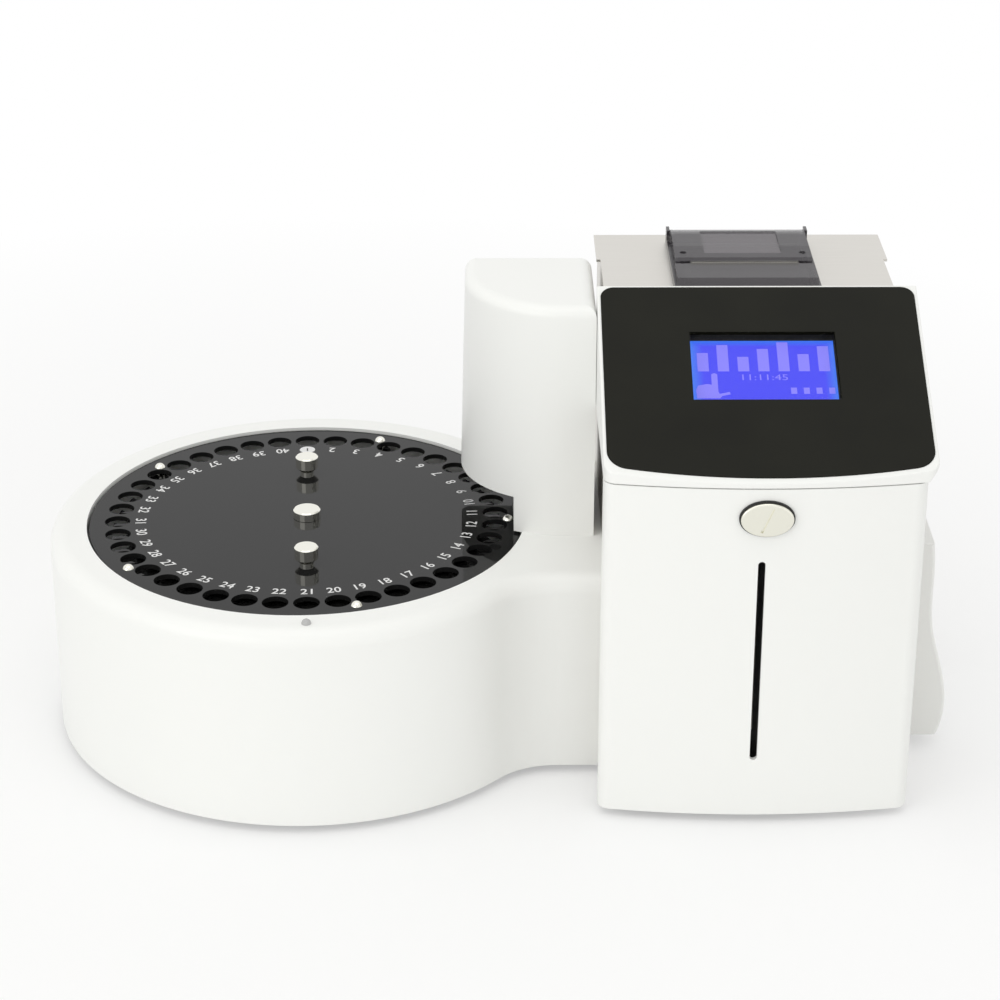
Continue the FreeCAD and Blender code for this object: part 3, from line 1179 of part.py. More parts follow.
# The ticket printer in the top
def make_printer():
    top = "cover_top"
    half = "(printer_wide / 2)"
    deck = new_body("printer_deck")
    side = sketch(deck, "deck_side", role="YZ_Plane", lift=PRINTER_MID + " - " + half + " + 1.5")
    polygon(side, [("-printer_front", top), ("-printer_front", top + " + 5"), ("-printer_front + 5", top + " + deck_high"),
                   ("deck_long - printer_front", top + " + deck_high"), ("deck_long - printer_front", top)])
    pad(deck, side, "printer_wide - 3", "deck_block")
    rim = box("printer_rim", PRINTER_MID + " - " + half, PRINTER_MID + " + " + half, "-printer_front", "printer_rear", top, top + " + 5")
    bucket = box("bucket_outer", PRINTER_MID + " - " + half + " + 4.3", PRINTER_MID + " + " + half + " - 4.3", "5.3 - printer_front",
                 "printer_rear - 5.3", top + " - bucket_deep", top + " + 1")
    ears = []
    for n, way in enumerate((-1, 1)):
        outer_x = PRINTER_MID + " + %d * %s" % (way, half)
        inner_x = PRINTER_MID + " + %d * (%s - 1.9)" % (way, half)
        left, right = (outer_x, inner_x) if way < 0 else (inner_x, outer_x)
        ears.append(box("hinge_ear_%d" % n, left, right, "lid_pivot_back - 4", "lid_pivot_back + 4", top + " + 4",
                        top + " + lid_pivot_high + 2.6"))
    solid = join("printer_solid", [deck, rim, bucket] + ears)
    well = box("bucket_inner", PRINTER_MID + " - " + half + " + 6.3", PRINTER_MID + " + " + half + " - 6.3", "7.3 - printer_front",
               "printer_rear - 7.3", top + " - bucket_deep + 2", top + " - 1")
    mouth = box("paper_mouth", PRINTER_MID + " - " + half + " + 3.5", PRINTER_MID + " + " + half + " - 3.5",
                "deck_long - printer_front", "printer_rear - 2", top + " - 2", top + " + 20")
    under_deck = box("deck_hollow", PRINTER_MID + " - " + half + " + 6.3", PRINTER_MID + " + " + half + " - 6.3",
                     "7.3 - printer_front", "deck_long - printer_front + 1", top + " - 2", top + " + deck_high - 2.5")
    pin_bore = rod("lid_pin_bore", "lid_pin + run_gap", "printer_wide + 4", PRINTER_MID + " - " + half + " - 2",
                   "lid_pivot_back", LID_PIVOT_Z, axis="x")
    cut("printer_frame", solid, [well, mouth, under_deck, pin_bore])
    roll_z = top + " - bucket_deep + 2 + roll_radius"
    roll = rod("roll_outer", "roll_radius", "roll_wide", PRINTER_MID + " - roll_wide / 2",
               "(printer_rear - 7.3 - roll_radius - 4)", roll_z, axis="x")
    core = rod("roll_hole", "roll_core", "roll_wide + 2", PRINTER_MID + " - roll_wide / 2 - 1",
               "(printer_rear - 7.3 - roll_radius - 4)", roll_z, axis="x")
    cut("paper_roll", roll, [core])
    box("print_mechanism", PRINTER_MID + " - 32", PRINTER_MID + " + 32", "7.3 - printer_front", "31.6 - printer_front",
        top + " - 12", top + " + 4.3")
    make_tear_bar()
    make_lid()


def make_tear_bar():
    """A toothed strip along the rear edge of the deck."""
    body = new_body("tear_bar")
    flat = sketch(body, "tear_teeth_plan", role="XZ_Plane", lift="printer_front - deck_long - 1.2")
    teeth = int(size("tear_teeth"))
    left = PRINTER_MID + " - tear_wide / 2"
    right = PRINTER_MID + " + tear_wide / 2"
    corners = [(left, "cover_top + 4.5"), (right, "cover_top + 4.5")]
    for n in range(teeth):
        corners.append((right + " - tear_wide * %d / tear_teeth" % n, "cover_top + deck_high + 0.4"))
        corners.append((right + " - tear_wide * (%d + 0.5) / tear_teeth" % n, "cover_top + deck_high + 1.6"))
    corners.append((left, "cover_top + deck_high + 0.4"))
    polygon(flat, corners)
    pad(body, flat, "1.2", "tear_strip")


def make_lid():
    """The lid over the paper, with its window, hinge pins and the platen's arms."""
    half = "(printer_wide / 2 - 2.2)"
    body = new_body("lid_body")
    side = sketch(body, "lid_side", role="YZ_Plane", lift=PRINTER_MID + " - " + half)
    top = LID_PIVOT_Z
    polygon(side, [("lid_front", top + " - 2.3"), ("lid_front", top + " + 1.4"), ("lid_front + 3", top + " + 2.6"),
                   ("lid_front + 20", top + " + 3.6"), ("lid_pivot_back - 8", top + " + 3.6"),
                   ("lid_pivot_back - 1", top + " + 2.2"), ("lid_pivot_back + 1.6", top + " + 1"),
                   ("lid_pivot_back + 1.6", top + " - 1.4"), ("lid_pivot_back - 1", top + " - 2.3")])
    pad(body, side, "2 * " + half, "lid_block")
    inside = box("lid_inside", PRINTER_MID + " - " + half + " + lid_thick", PRINTER_MID + " + " + half + " - lid_thick",
                 "lid_front + lid_thick", "lid_pivot_back - 4.5", top + " - 5", top + " + 1.1")
    arms = []
    for n, way in enumerate((-1, 1)):
        near = PRINTER_MID + " + %d * 29.6" % way
        far = PRINTER_MID + " + %d * 32" % way
        left, right = (far, near) if way < 0 else (near, far)
        arms.append(box("platen_arm_%d" % n, left, right, "lid_front + 0.2", "lid_front + 9", top + " - 10", top + " + 1.5"))
    pins = [rod("lid_pin_%d" % n, "lid_pin", "2.2 + 2", PRINTER_MID + " + %d * (printer_wide / 2)" % way + (" - 4.2" if way > 0 else ""),
                "lid_pivot_back", LID_PIVOT_Z, axis="x") for n, way in enumerate((-1, 1))]
    tab = box("lid_tab", PRINTER_MID + " - 23", PRINTER_MID + " + 23", "lid_front + 9.5", "lid_pivot_back - 7.3",
              top + " + 2.6", top + " + 5")
    screws = [rod("lid_screw_%d" % n, "2", "10", PRINTER_MID + " + %d * 35.5" % way, "lid_front + 10.3", top + " - 2")
              for n, way in enumerate((-1, 1))]
    eye = rod("platen_eye", "1.5 + run_gap", "70", PRINTER_MID + " - 35", "lid_front + 4", top + " - 6.5", axis="x")
    hollow = cut("lid_hollow", body, [inside])
    cut("printer_lid", join("lid_solid", [hollow] + arms + pins), [tab, eye] + screws)
    roller = rod("platen_rubber", "platen_radius", "58.4", PRINTER_MID + " - 29.2", "lid_front + 4", top + " - 6.5", axis="x")
    axle = rod("platen_axle", "1.5", "63.5", PRINTER_MID + " - 31.75", "lid_front + 4", top + " - 6.5", axis="x")
    join("platen_roller", [roller, axle])


PIECES = [
    "drum_housing", "drum_base_plate", "sampler_feet", "carousel_motor", "motor_shaft", "drive_hub",
    "tray_bottom_plate", "tray_guide_plate", "tray_top_plate", "tray_hub", "tray_posts", "tray_dome_nuts",
    "centre_knob", "lifting_knobs", "status_lamp",
    "tower_housing", "needle_guide", "lift_frame", "guide_rods", "lift_motor", "lead_screw", "lift_carriage",
    "probe_arm", "sampler_needle",
    "base_pan", "main_feet", "metal_cover", "rear_panel", "power_inlet", "power_rocker",
    "head_housing", "glass_panel", "lcd_frame", "lcd_screen",
    "front_door", "door_hinge_pins", "latch_knob", "latch_cam",
    "front_plate", "electrode_rail", "electrode_1", "electrode_2", "electrode_3", "electrode_4",
    "pump_housing", "pump_motor", "pump_rotor", "pump_roller_1", "pump_roller_2", "pump_roller_3",
    "probe_bracket", "sample_probe",
    "reagent_pack", "reagent_bay",
    "printer_frame", "paper_roll", "print_mechanism", "tear_bar", "printer_lid", "platen_roller",
]


def build_all():
    make_drum_housing()
    make_drum_base()
    make_feet()
    make_tray()
    make_knobs()
    make_drive()
    make_lamp()
    make_tower()
    make_lift()
    make_cover()
    make_base_pan()
    make_rear_panel()
    make_head()
    make_screen()
    make_door()
    make_latch()
    make_front_plate()
    make_electrodes()
    make_pump()
    make_probe()
    make_reagent()
    make_printer()
    doc.recompute()


def check_and_write():
    """Refuse a document with any failed object, then write one file for each piece."""
    failed = [item.Label for item in doc.Objects if "Invalid" in item.State or "Error" in item.State]
    if failed:
        raise RuntimeError("failed objects: " + ", ".join(failed))
    found = {item.Label: item for item in doc.Objects}
    for name in PIECES:
        shape = found[name].Shape
        if shape.isNull() or not shape.isValid() or not shape.Solids:
            raise RuntimeError("bad shape: " + name)
    os.makedirs("parts", exist_ok=True)
    for name in PIECES:
        found[name].Shape.exportStep("parts/" + name + ".step")
        print(name, len(found[name].Shape.Solids), round(found[name].Shape.Volume / 1000, 2))


build_all()
check_and_write()
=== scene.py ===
# %% [markdown]
# # A desktop electrolyte analyzer with a round autosampler
#
# The imported model brings every rigid piece at its real size. This lesson gives
# those pieces their finishes, adds the printed and fine pieces that have no
# use in the motion model, and sets up a plain white studio around them.
# The first cell loads the model and bakes every piece's place into its mesh.

import bpy
import math
from mathutils import Matrix, Vector


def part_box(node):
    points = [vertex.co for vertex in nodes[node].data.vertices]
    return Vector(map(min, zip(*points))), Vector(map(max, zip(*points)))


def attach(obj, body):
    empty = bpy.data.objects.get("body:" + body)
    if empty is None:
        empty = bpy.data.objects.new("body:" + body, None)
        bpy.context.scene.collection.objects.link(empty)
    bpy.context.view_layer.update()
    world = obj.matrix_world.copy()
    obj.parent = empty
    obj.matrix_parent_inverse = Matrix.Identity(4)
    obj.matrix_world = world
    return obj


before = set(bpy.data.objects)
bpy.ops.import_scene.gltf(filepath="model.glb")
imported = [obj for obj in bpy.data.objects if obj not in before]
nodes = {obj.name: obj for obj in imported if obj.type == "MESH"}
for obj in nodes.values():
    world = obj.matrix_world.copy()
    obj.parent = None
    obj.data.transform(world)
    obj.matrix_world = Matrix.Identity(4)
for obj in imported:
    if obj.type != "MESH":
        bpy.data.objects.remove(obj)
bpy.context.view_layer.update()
MM = 0.001

# %% [markdown]
# ## Places that the dressing needs
#
# Few numbers are needed, because the pieces know where they are. The sloped
# panel is described by the line where it starts and by its angle. The tray
# is described by its top face and by the ring that carries the holes. Each is
# named here, so that print, the painted shade round the lock and finish agree.

# %% Name the panel and the tray
PANEL_SLOPE = math.radians(26.4)
PANEL_FOOT = Vector((0.0, -135.4, 219.7)) * MM
ALONG = Vector((0.0, math.cos(PANEL_SLOPE), math.sin(PANEL_SLOPE)))
OUTWARD = Vector((0.0, -math.sin(PANEL_SLOPE), math.cos(PANEL_SLOPE)))
door_low, door_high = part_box("front_door")
MID_X = (door_low[0] + door_high[0]) / 2
screen_low, screen_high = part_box("lcd_screen")
SCREEN_MID = (screen_low[0] + screen_high[0]) / 2
tray_low, tray_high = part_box("tray_top_plate")
TRAY_TOP = tray_high[2]
TRAY_TURN = math.radians(3.0)
HOLE_COUNT = 40
print("tray top", round(TRAY_TOP, 4), "middle of the main unit", round(MID_X, 4))

# %% [markdown]
# ## Shader maths as plain Python
#
# A finish changes a little from place to place: fine grain, brushed lines,
# a window in a painted glass. Such changes are sums and products of node
# outputs. The class below wraps one output and overloads the operators, so
# that `1 - mask` writes the Math node by itself and the recipe stays readable.

# %% Wrap a node output
class Flow:
    """One output of a node, which can be used in sums like a number."""

    def __init__(self, finish, socket):
        self.finish = finish
        self.socket = socket

    def maths(self, operation, *values):
        return self.finish.make("ShaderNodeMath", {"operation": operation}, dict(enumerate(values)))

    def __add__(self, other):
        return self.maths("ADD", self, other)

    def __sub__(self, other):
        return self.maths("SUBTRACT", self, other)

    def __mul__(self, other):
        return self.maths("MULTIPLY", self, other)

    def __rsub__(self, other):
        return self.maths("SUBTRACT", other, self)

    def __gt__(self, other):
        return self.maths("GREATER_THAN", self, other)

    def __lt__(self, other):
        return self.maths("LESS_THAN", self, other)

    def size(self):
        return self.maths("ABSOLUTE", self)

    __radd__ = __add__
    __rmul__ = __mul__


print("flows ready")

# %% [markdown]
# ## One finish, one shader
#
# Every finish is a Principled shader with its constant values set on its own
# sockets. Only what varies over the surface is linked. `make` builds any other
# node: its type, its settings, then its inputs, which may be numbers or flows.
# The white room at the end is made with the same method.

# %% Make nodes in a tree
class NodeTree:
    """A node tree with one short way to add nodes to it."""

    def __init__(self, tree):
        self.tree = tree

    def make(self, kind, settings=None, inputs=None, output=0):
        node = self.tree.nodes.new(kind)
        for name, value in (settings or {}).items():
            if name == "stops":
                self.set_stops(node.color_ramp, value)
            else:
                setattr(node, name, value)
        for name, value in (inputs or {}).items():
            self.feed(node.inputs[name], value)
        return Flow(self, node.outputs[output])

    def feed(self, socket, value):
        if isinstance(value, Flow):
            self.tree.links.new(value.socket, socket)
        else:
            socket.default_value = value

    def set_stops(self, ramp, stops):
        while len(ramp.elements) < len(stops):
            ramp.elements.new(0.5)
        for element, (place, colour) in zip(ramp.elements, stops):
            element.position = place
            element.color = colour


# %% Describe a finish
class Finish(NodeTree):
    """A material with a Principled shader."""

    def __init__(self, name, **constants):
        self.material = bpy.data.materials.new(name)
        self.material.use_nodes = True
        super().__init__(self.material.node_tree)
        self.shader = self.tree.nodes["Principled BSDF"]
        for socket, value in constants.items():
            self.shader.inputs[socket.replace("_", " ")].default_value = value

    def drive(self, socket, value):
        self.feed(self.shader.inputs[socket], value)

    def place(self):
        return self.make("ShaderNodeTexCoord", output="Object")

    def grain(self, per_metre, detail=2.0, stretch=(1, 1, 1), output=0):
        spread = self.make("ShaderNodeVectorMath", {"operation": "MULTIPLY"},
                           {0: self.place(), 1: stretch})
        return self.make("ShaderNodeTexNoise", None,
                         {"Vector": spread, "Scale": per_metre, "Detail": detail}, output)

    def axes(self):
        place = self.place()
        return [self.make("ShaderNodeSeparateXYZ", None, {0: place}, name) for name in "XYZ"]

    def blend(self, amount, first, second):
        return self.make("ShaderNodeMix", {"data_type": "RGBA"},
                         {0: amount, 6: first, 7: second}, output=2)

    def emboss(self, height, strength, depth):
        bump = self.make("ShaderNodeBump", None,
                         {"Height": height, "Strength": strength, "Distance": depth})
        self.drive("Normal", bump)


def grey(value, alpha=1.0):
    return (value, value, value, alpha)


print("finishes can be written")

# %% [markdown]
# ## Moulded white shell
#
# The drum, tower, door, head and reagent pack are moulded in a white plastic
# with a satin gloss. Its face has a faint orange peel from the mould, and
# handling leaves the gloss a little uneven. Both come from noise at two
# scales: a fine one lifts the surface, a wide one changes the roughness.

# %% White shell plastic
def white_plastic(name, tone, gloss):
    finish = Finish(name, Base_Color=tone, Roughness=gloss, IOR=1.46)
    clouds = finish.grain(14.0, 3.0)
    peel = finish.grain(900.0, 2.0)
    finish.drive("Base Color", finish.blend(clouds, tone, tuple(c * 0.985 for c in tone[:3]) + (1,)))
    finish.drive("Roughness", clouds * 0.08 + (gloss - 0.04))
    finish.emboss(peel, 0.10, 0.0002)
    return finish.material


shell = white_plastic("white_shell", (0.90, 0.905, 0.885, 1), 0.34)
print(shell.name)

# %% [markdown]
# ## Black tray sheets
#
# The carousel's plates are cut from polished black sheet. It mirrors the
# knobs that stand on it, so its roughness is very low. Fine wiping marks run
# round the axis: they are noise stretched along the ring, taken from the
# distance to the axis, and they only touch the roughness.

# %% Polished black sheet
def polished_black(name, tone, gloss):
    finish = Finish(name, Base_Color=tone, Roughness=gloss, IOR=1.29)
    wipes = finish.grain(60.0, 4.0, (1, 1, 0.2))
    dust = finish.grain(2600.0, 1.0)
    specks = (dust > 0.74) * 0.05
    finish.drive("Roughness", wipes * 0.04 + (gloss - 0.02) + specks)
    finish.drive("Base Color", finish.blend(specks * 4.0, tone, grey(0.10)))
    return finish.material


tray_black = polished_black("tray_black", grey(0.012), 0.05)
print(tray_black.name)

# %% [markdown]
# ## Painted glass with a clear window
#
# The front panel is one sheet of glass, painted black on its back except for
# a clear window over the screen. The glass itself stays whole, so the window
# is a mask in the alpha: a rectangle measured across and along the slope.

# %% Panel glass
WINDOW_HALF = 41.6 * MM
WINDOW_START = 51.7 * MM
WINDOW_END = 102.6 * MM


def panel_glass():
    finish = Finish("panel_glass", Base_Color=(0.010, 0.010, 0.007, 1), Roughness=0.06, IOR=1.23)
    x, y, z = finish.axes()
    along = (y - PANEL_FOOT.y) * ALONG.y + (z - PANEL_FOOT.z) * ALONG.z
    across = (x - SCREEN_MID).size()
    inside = (across < WINDOW_HALF) * (along > WINDOW_START) * (along < WINDOW_END)
    smear = finish.grain(22.0, 3.0)
    finish.drive("Alpha", 1 - inside * 0.94)
    finish.drive("Roughness", smear * 0.05 + 0.035)
    finish.drive("Base Color", finish.blend(smear, (0.008, 0.008, 0.006, 1), (0.015, 0.015, 0.010, 1)))
    return finish.material


glass = panel_glass()
print(glass.name)

# %% [markdown]
# ## Metals
#
# Three metals show. Knobs, nuts and pins are turned and plated, so they
# mirror the room. The cover is brushed sheet: long fine lines run from side
# to side, made from noise stretched hard along X. The pan, plates and brackets
# inside are plain coated sheet; the plate behind the door is coated darker
# as painted shade, so the bay seen through the slot reads near black.

# %% Plated and turned metal
def plated(name, tone, gloss):
    finish = Finish(name, Base_Color=tone, Metallic=1.0, Roughness=gloss)
    turning = finish.grain(5000.0, 2.0, (0.15, 0.15, 1.0))
    finish.drive("Roughness", turning * 0.06 + (gloss - 0.03))
    finish.emboss(turning, 0.05, 0.0001)
    return finish.material


bright = plated("plated_steel", (0.86, 0.85, 0.78, 1), 0.08)
lock_steel = plated("lock_steel", (0.80, 0.79, 0.70, 1), 0.22)

# %% Brushed cover sheet
def brushed(name, tone, gloss):
    finish = Finish(name, Base_Color=tone, Metallic=1.0, Roughness=gloss)
    lines = finish.grain(1500.0, 3.0, (0.02, 1.0, 1.0))
    clouds = finish.grain(6.0, 2.0)
    finish.drive("Base Color", finish.blend(lines, tone, tuple(c * 0.93 for c in tone[:3]) + (1,)))
    finish.drive("Roughness", clouds * 0.08 + lines * 0.06 + (gloss - 0.07))
    finish.emboss(lines, 0.06, 0.0001)
    return finish.material


cover_sheet = brushed("cover_sheet", (0.72, 0.70, 0.66, 1), 0.42)

# %% Coated sheet inside
def coated(name, tone, gloss):
    finish = Finish(name, Base_Color=tone, Roughness=gloss)
    skin = finish.grain(1200.0, 2.0)
    finish.drive("Base Color", finish.blend(skin, tone, tuple(c * 0.9 for c in tone[:3]) + (1,)))
    finish.emboss(skin, 0.15, 0.0002)
    return finish.material


inner_sheet = coated("inner_sheet", grey(0.42), 0.5)
# The front plate's dark grey is painted shade for the inside of the door bay.
bay_painted_shade = coated("bay_painted_shade", grey(0.10), 0.55)
motor_case = coated("motor_case", grey(0.035), 0.45)
print("metals:", [m.name for m in (bright, lock_steel, cover_sheet, inner_sheet, bay_painted_shade, motor_case)])

# %% [markdown]
# ## Smoked printer plastic
#
# The printer's frame and lid are moulded in a smoked clear plastic. Light
# gets a little way in, so the mechanism and the roll show through as darker
# and lighter shapes. A high alpha below one gives that without the cost of
# real refraction. The lid has a thinner window in its middle, where the paper
# below makes the plastic look paler.

# %% Smoked plastic
lid_low, lid_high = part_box("printer_lid")
LID_MID = (lid_low[0] + lid_high[0]) / 2
PANE_HALF = 23.0 * MM
PANE_START = lid_low[1] + 9.6 * MM
PANE_END = lid_high[1] - 9.2 * MM


def smoked(name, tone, clear, pane=None):
    finish = Finish(name, Base_Color=tone, Roughness=0.16, Alpha=1 - clear, IOR=1.5)
    flow = finish.grain(35.0, 3.0)
    shade = finish.blend(flow, tone, tuple(c * 1.35 for c in tone[:3]) + (1,))
    if pane:
        x, y, z = finish.axes()
        across = (x - LID_MID).size()
        shade = finish.blend((across < PANE_HALF) * (y > PANE_START) * (y < PANE_END), shade, pane)
    finish.drive("Base Color", shade)
    finish.drive("Roughness", flow * 0.10 + 0.10)
    return finish.material


smoke_lid = smoked("smoke_lid", (0.058, 0.053, 0.060, 1), 0.30, (0.145, 0.130, 0.145, 1))
smoke_frame = smoked("smoke_frame", (0.040, 0.035, 0.041, 1), 0.22)
print(smoke_lid.name, smoke_frame.name)

# %% [markdown]
# ## Plastics, rubber and paper inside
#
# What lies inside is plainer, but each still has its own grain: a spark-eroded
# texture on dark mouldings, dust on rubber, fibre in the paper, and a faint
# amber in the clear cells.

# %% Quiet finishes
def moulded(name, tone, gloss, per_metre=1800.0, strength=0.25):
    finish = Finish(name, Base_Color=tone, Roughness=gloss)
    skin = finish.grain(per_metre, 3.0)
    finish.drive("Base Color", finish.blend(skin, tone, tuple(c * 0.82 for c in tone[:3]) + (1,)))
    finish.drive("Roughness", skin * 0.14 + (gloss - 0.07))
    finish.emboss(skin, strength, 0.0002)
    return finish.material


dark_plastic = moulded("dark_plastic", grey(0.03), 0.48)
mechanism_grey = moulded("mechanism_grey", grey(0.24), 0.4)
rubber = moulded("soft_rubber", grey(0.02), 0.75, 900.0, 0.4)
roller_ivory = moulded("roller_ivory", (0.72, 0.68, 0.55, 1), 0.4)
cell_amber = moulded("cell_amber", (0.62, 0.50, 0.30, 1), 0.18, 200.0, 0.05)
lamp_clear = moulded("lamp_clear", (0.50, 0.50, 0.50, 1), 0.25, 300.0, 0.05)
paper = moulded("printer_paper", (0.86, 0.86, 0.82, 1), 0.85, 1400.0, 0.3)
print("quiet finishes: 7")

# %% [markdown]
# ## The lit screen
#
# A blue backlight shines evenly through the display and a little stronger
# near its edges, where the lamps sit. So the emission colour is a mix of two
# blues, and the amount grows with the distance from the middle.

# %% Backlit blue
SCREEN_HALF = (screen_high[0] - screen_low[0]) / 2
BLUE = (0.050, 0.056, 1.0, 1)
EDGE_BLUE = (0.05, 0.22, 1.0, 1)


def lit_screen():
    finish = Finish("lit_screen", Base_Color=(0.02, 0.02, 0.12, 1), Roughness=0.25)
    finish.shader.inputs["Emission Strength"].default_value = 0.92
    x, y, z = finish.axes()
    side = (x - SCREEN_MID).size() * (1 / SCREEN_HALF)
    rise = (z - (screen_low[2] + screen_high[2]) / 2).size() * (2 / (screen_high[2] - screen_low[2]))
    near_edge = finish.make("ShaderNodeMath", {"operation": "MAXIMUM"}, {0: side, 1: rise})
    glow = finish.make("ShaderNodeValToRGB", {"stops": [(0.84, grey(0)), (1.0, grey(1))]},
                       {"Fac": near_edge})
    finish.drive("Emission Color", finish.blend(glow, BLUE, EDGE_BLUE))
    return finish.material


screen = lit_screen()
print(screen.name)


# %% Inks for print, and a black for print and for painted shade
def ink(name, tone, glow=0.0):
    finish = Finish(name, Base_Color=tone, Roughness=0.55)
    speck = finish.grain(4000.0, 1.0)
    mixed = finish.blend(speck, tone, tuple(c * 0.9 for c in tone[:3]) + (1,))
    finish.drive("Base Color", mixed)
    if glow:
        finish.drive("Emission Color", mixed)
        finish.shader.inputs["Emission Strength"].default_value = glow
    return finish.material


white_ink = ink("white_print", grey(0.80))
# This black is the first digit's print and also the painted shade round the lock.
print_and_shade_ink = ink("print_and_painted_shade_black", grey(0.01))
pale_dots = ink("screen_dots", (0.17, 0.155, 0.66, 1), 0.9)
print("inks: 3")

# %% [markdown]
# ## Give each piece its finish
#
# The list names every piece under its finish. A piece that is missing would
# keep its plain packed colour, so the cell stops if any is left over.

# %% Dress the pieces
DRESS = {
    shell: ["drum_housing", "tower_housing", "head_housing", "front_door", "reagent_pack"],
    tray_black: ["tray_top_plate", "tray_guide_plate", "tray_bottom_plate", "tray_hub"],
    glass: ["glass_panel"],
    bright: ["tray_posts", "tray_dome_nuts", "centre_knob", "lifting_knobs", "drive_hub",
             "motor_shaft", "guide_rods", "lead_screw", "sampler_needle", "door_hinge_pins",
             "sample_probe", "pump_rotor", "tear_bar"],
    lock_steel: ["latch_knob", "latch_cam"],
    cover_sheet: ["metal_cover", "rear_panel"],
    inner_sheet: ["drum_base_plate", "base_pan", "lift_frame", "probe_arm"],
    bay_painted_shade: ["front_plate"],
    motor_case: ["carousel_motor", "lift_motor", "pump_motor"],
    smoke_lid: ["printer_lid"],
    smoke_frame: ["printer_frame"],
    dark_plastic: ["needle_guide", "lift_carriage", "power_inlet", "power_rocker", "lcd_frame",
                   "electrode_rail", "pump_housing", "probe_bracket", "reagent_bay"],
    mechanism_grey: ["print_mechanism"],
    rubber: ["sampler_feet", "main_feet", "platen_roller"],
    roller_ivory: ["pump_roller_1", "pump_roller_2", "pump_roller_3"],
    cell_amber: ["electrode_1", "electrode_2", "electrode_3", "electrode_4"],
    lamp_clear: ["status_lamp"],
    paper: ["paper_roll"],
    screen: ["lcd_screen"],
}
left_over = set(nodes)
for material, names in DRESS.items():
    for name in names:
        piece = nodes[name]
        piece.data.materials.clear()
        piece.data.materials.append(material)
        left_over.discard(name)
if left_over:
    raise RuntimeError("no finish for: " + ", ".join(sorted(left_over)))
print("dressed:", len(nodes))

# %% [markdown]
# ## Printed numbers on the tray
#
# Forty numbers stand inside the ring of holes, each with its head to the
# middle, so that the ones nearest the reader stand upright. The first is a
# black digit on a white disc. A text curve gives the glyphs. They are
# turned into one flat mesh, laid a hair above the plate, so that the print
# turns with the carousel.

# %% Turn words into flat glyphs
def glyph_mesh(words, high, squeeze=1.0, weight=0.012):
    """Vertices and faces of a word, centred on zero, with the given height."""
    curve = bpy.data.curves.new("glyphs", "FONT")
    curve.body = words
    curve.align_x = "CENTER"
    curve.resolution_u = 3
    curve.offset = weight
    holder = bpy.data.objects.new("glyphs", curve)
    bpy.context.scene.collection.objects.link(holder)
    bpy.context.view_layer.update()
    view = bpy.context.evaluated_depsgraph_get()
    flat = bpy.data.meshes.new_from_object(holder.evaluated_get(view))
    points = [v.co.copy() for v in flat.vertices]
    faces = [list(p.vertices) for p in flat.polygons]
    bpy.data.objects.remove(holder)
    low = Vector((min(p.x for p in points), min(p.y for p in points), 0))
    top = Vector((max(p.x for p in points), max(p.y for p in points), 0))
    centre = (low + top) / 2
    scale = high / (top.y - low.y)
    placed = [Vector(((p.x - centre.x) * scale * squeeze, (p.y - centre.y) * scale, 0)) for p in points]
    return placed, faces


def flat_piece(name, parts, material, body):
    """One mesh from several sets of points and faces, riding on a body."""
    points = []
    faces = []
    for spots, outlines in parts:
        start = len(points)
        points += spots
        faces += [[start + n for n in outline] for outline in outlines]
    mesh = bpy.data.meshes.new(name)
    mesh.from_pydata(points, [], faces)
    mesh.validate()
    mesh.materials.append(material)
    piece = bpy.data.objects.new(name, mesh)
    bpy.context.scene.collection.objects.link(piece)
    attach(piece, body)
    return piece


# %% Print the numbers
NUMBER_RING = 100.2 * MM
NUMBER_HIGH = 6.6 * MM
FIRST_DISC = 4.9 * MM
FIRST_HIGH = 4.6 * MM
PRINT_LIFT = 0.06 * MM


def tray_place(number):
    """Angle of a hole's number, counted clockwise from the back."""
    return math.radians(90) + TRAY_TURN - (number - 1) * 2 * math.pi / HOLE_COUNT


def laid_on_tray(spots, angle, ring, lift):
    turn = Matrix.Rotation(angle + math.pi / 2, 4, "Z")
    place = Vector((ring * math.cos(angle), ring * math.sin(angle), TRAY_TOP + lift))
    return [turn @ spot + place for spot in spots]


digits = []
for number in range(2, HOLE_COUNT + 1):
    spots, outlines = glyph_mesh(str(number), NUMBER_HIGH, 0.95)
    digits.append((laid_on_tray(spots, tray_place(number), NUMBER_RING, PRINT_LIFT), outlines))
numbers = flat_piece("tray_numbers", digits, white_ink, "carousel")
print("numbers:", len(digits), "points:", len(numbers.data.vertices))


# %% Mark the first place
def disc_shape(radius, count=48):
    step = 2 * math.pi / count
    return [Vector((radius * math.cos(step * n), radius * math.sin(step * n), 0)) for n in range(count)]


first = tray_place(1)
spot = laid_on_tray(disc_shape(FIRST_DISC), first, NUMBER_RING, PRINT_LIFT)
first_disc = flat_piece("first_place_disc", [(spot, [list(range(len(spot)))])], white_ink, "carousel")
spots, outlines = glyph_mesh("1", FIRST_HIGH)
first_digit = flat_piece("first_place_digit",
                         [(laid_on_tray(spots, first, NUMBER_RING, 2 * PRINT_LIFT), outlines)],
                         print_and_shade_ink, "carousel")
print("first place marked at", [round(c, 3) for c in spot[0]])

# %% [markdown]
# ## What the screen shows
#
# The display shows a clock, a pointing hand and a small chart, in paler dots
# on the blue. They are flat shapes just above the screen, laid out across and
# along the slope, so each shape is placed by two numbers in millimetres.

# %% Lay shapes on the screen
SCREEN_DEPTH = -5.0 * MM
SHAPE_LIFT = 0.08 * MM
CHART_FOOT = 77.4 * MM
CHART_HIGH = [14.0, 20.0, 11.0, 17.0, 22.0, 13.0, 19.0]
CHART_STEP = 11.5 * MM


def on_screen(spots, across, along):
    """Move flat points onto the screen; along is counted up the slope from its foot."""
    base = PANEL_FOOT + ALONG * along + OUTWARD * (SCREEN_DEPTH + SHAPE_LIFT)
    base.x = SCREEN_MID + across
    return [base + Vector((spot.x, 0, 0)) + ALONG * spot.y for spot in spots]


def bar(wide, high):
    return [Vector((x * wide / 2, y * high / 2, 0)) for x, y in ((-1, -1), (1, -1), (1, 1), (-1, 1))]


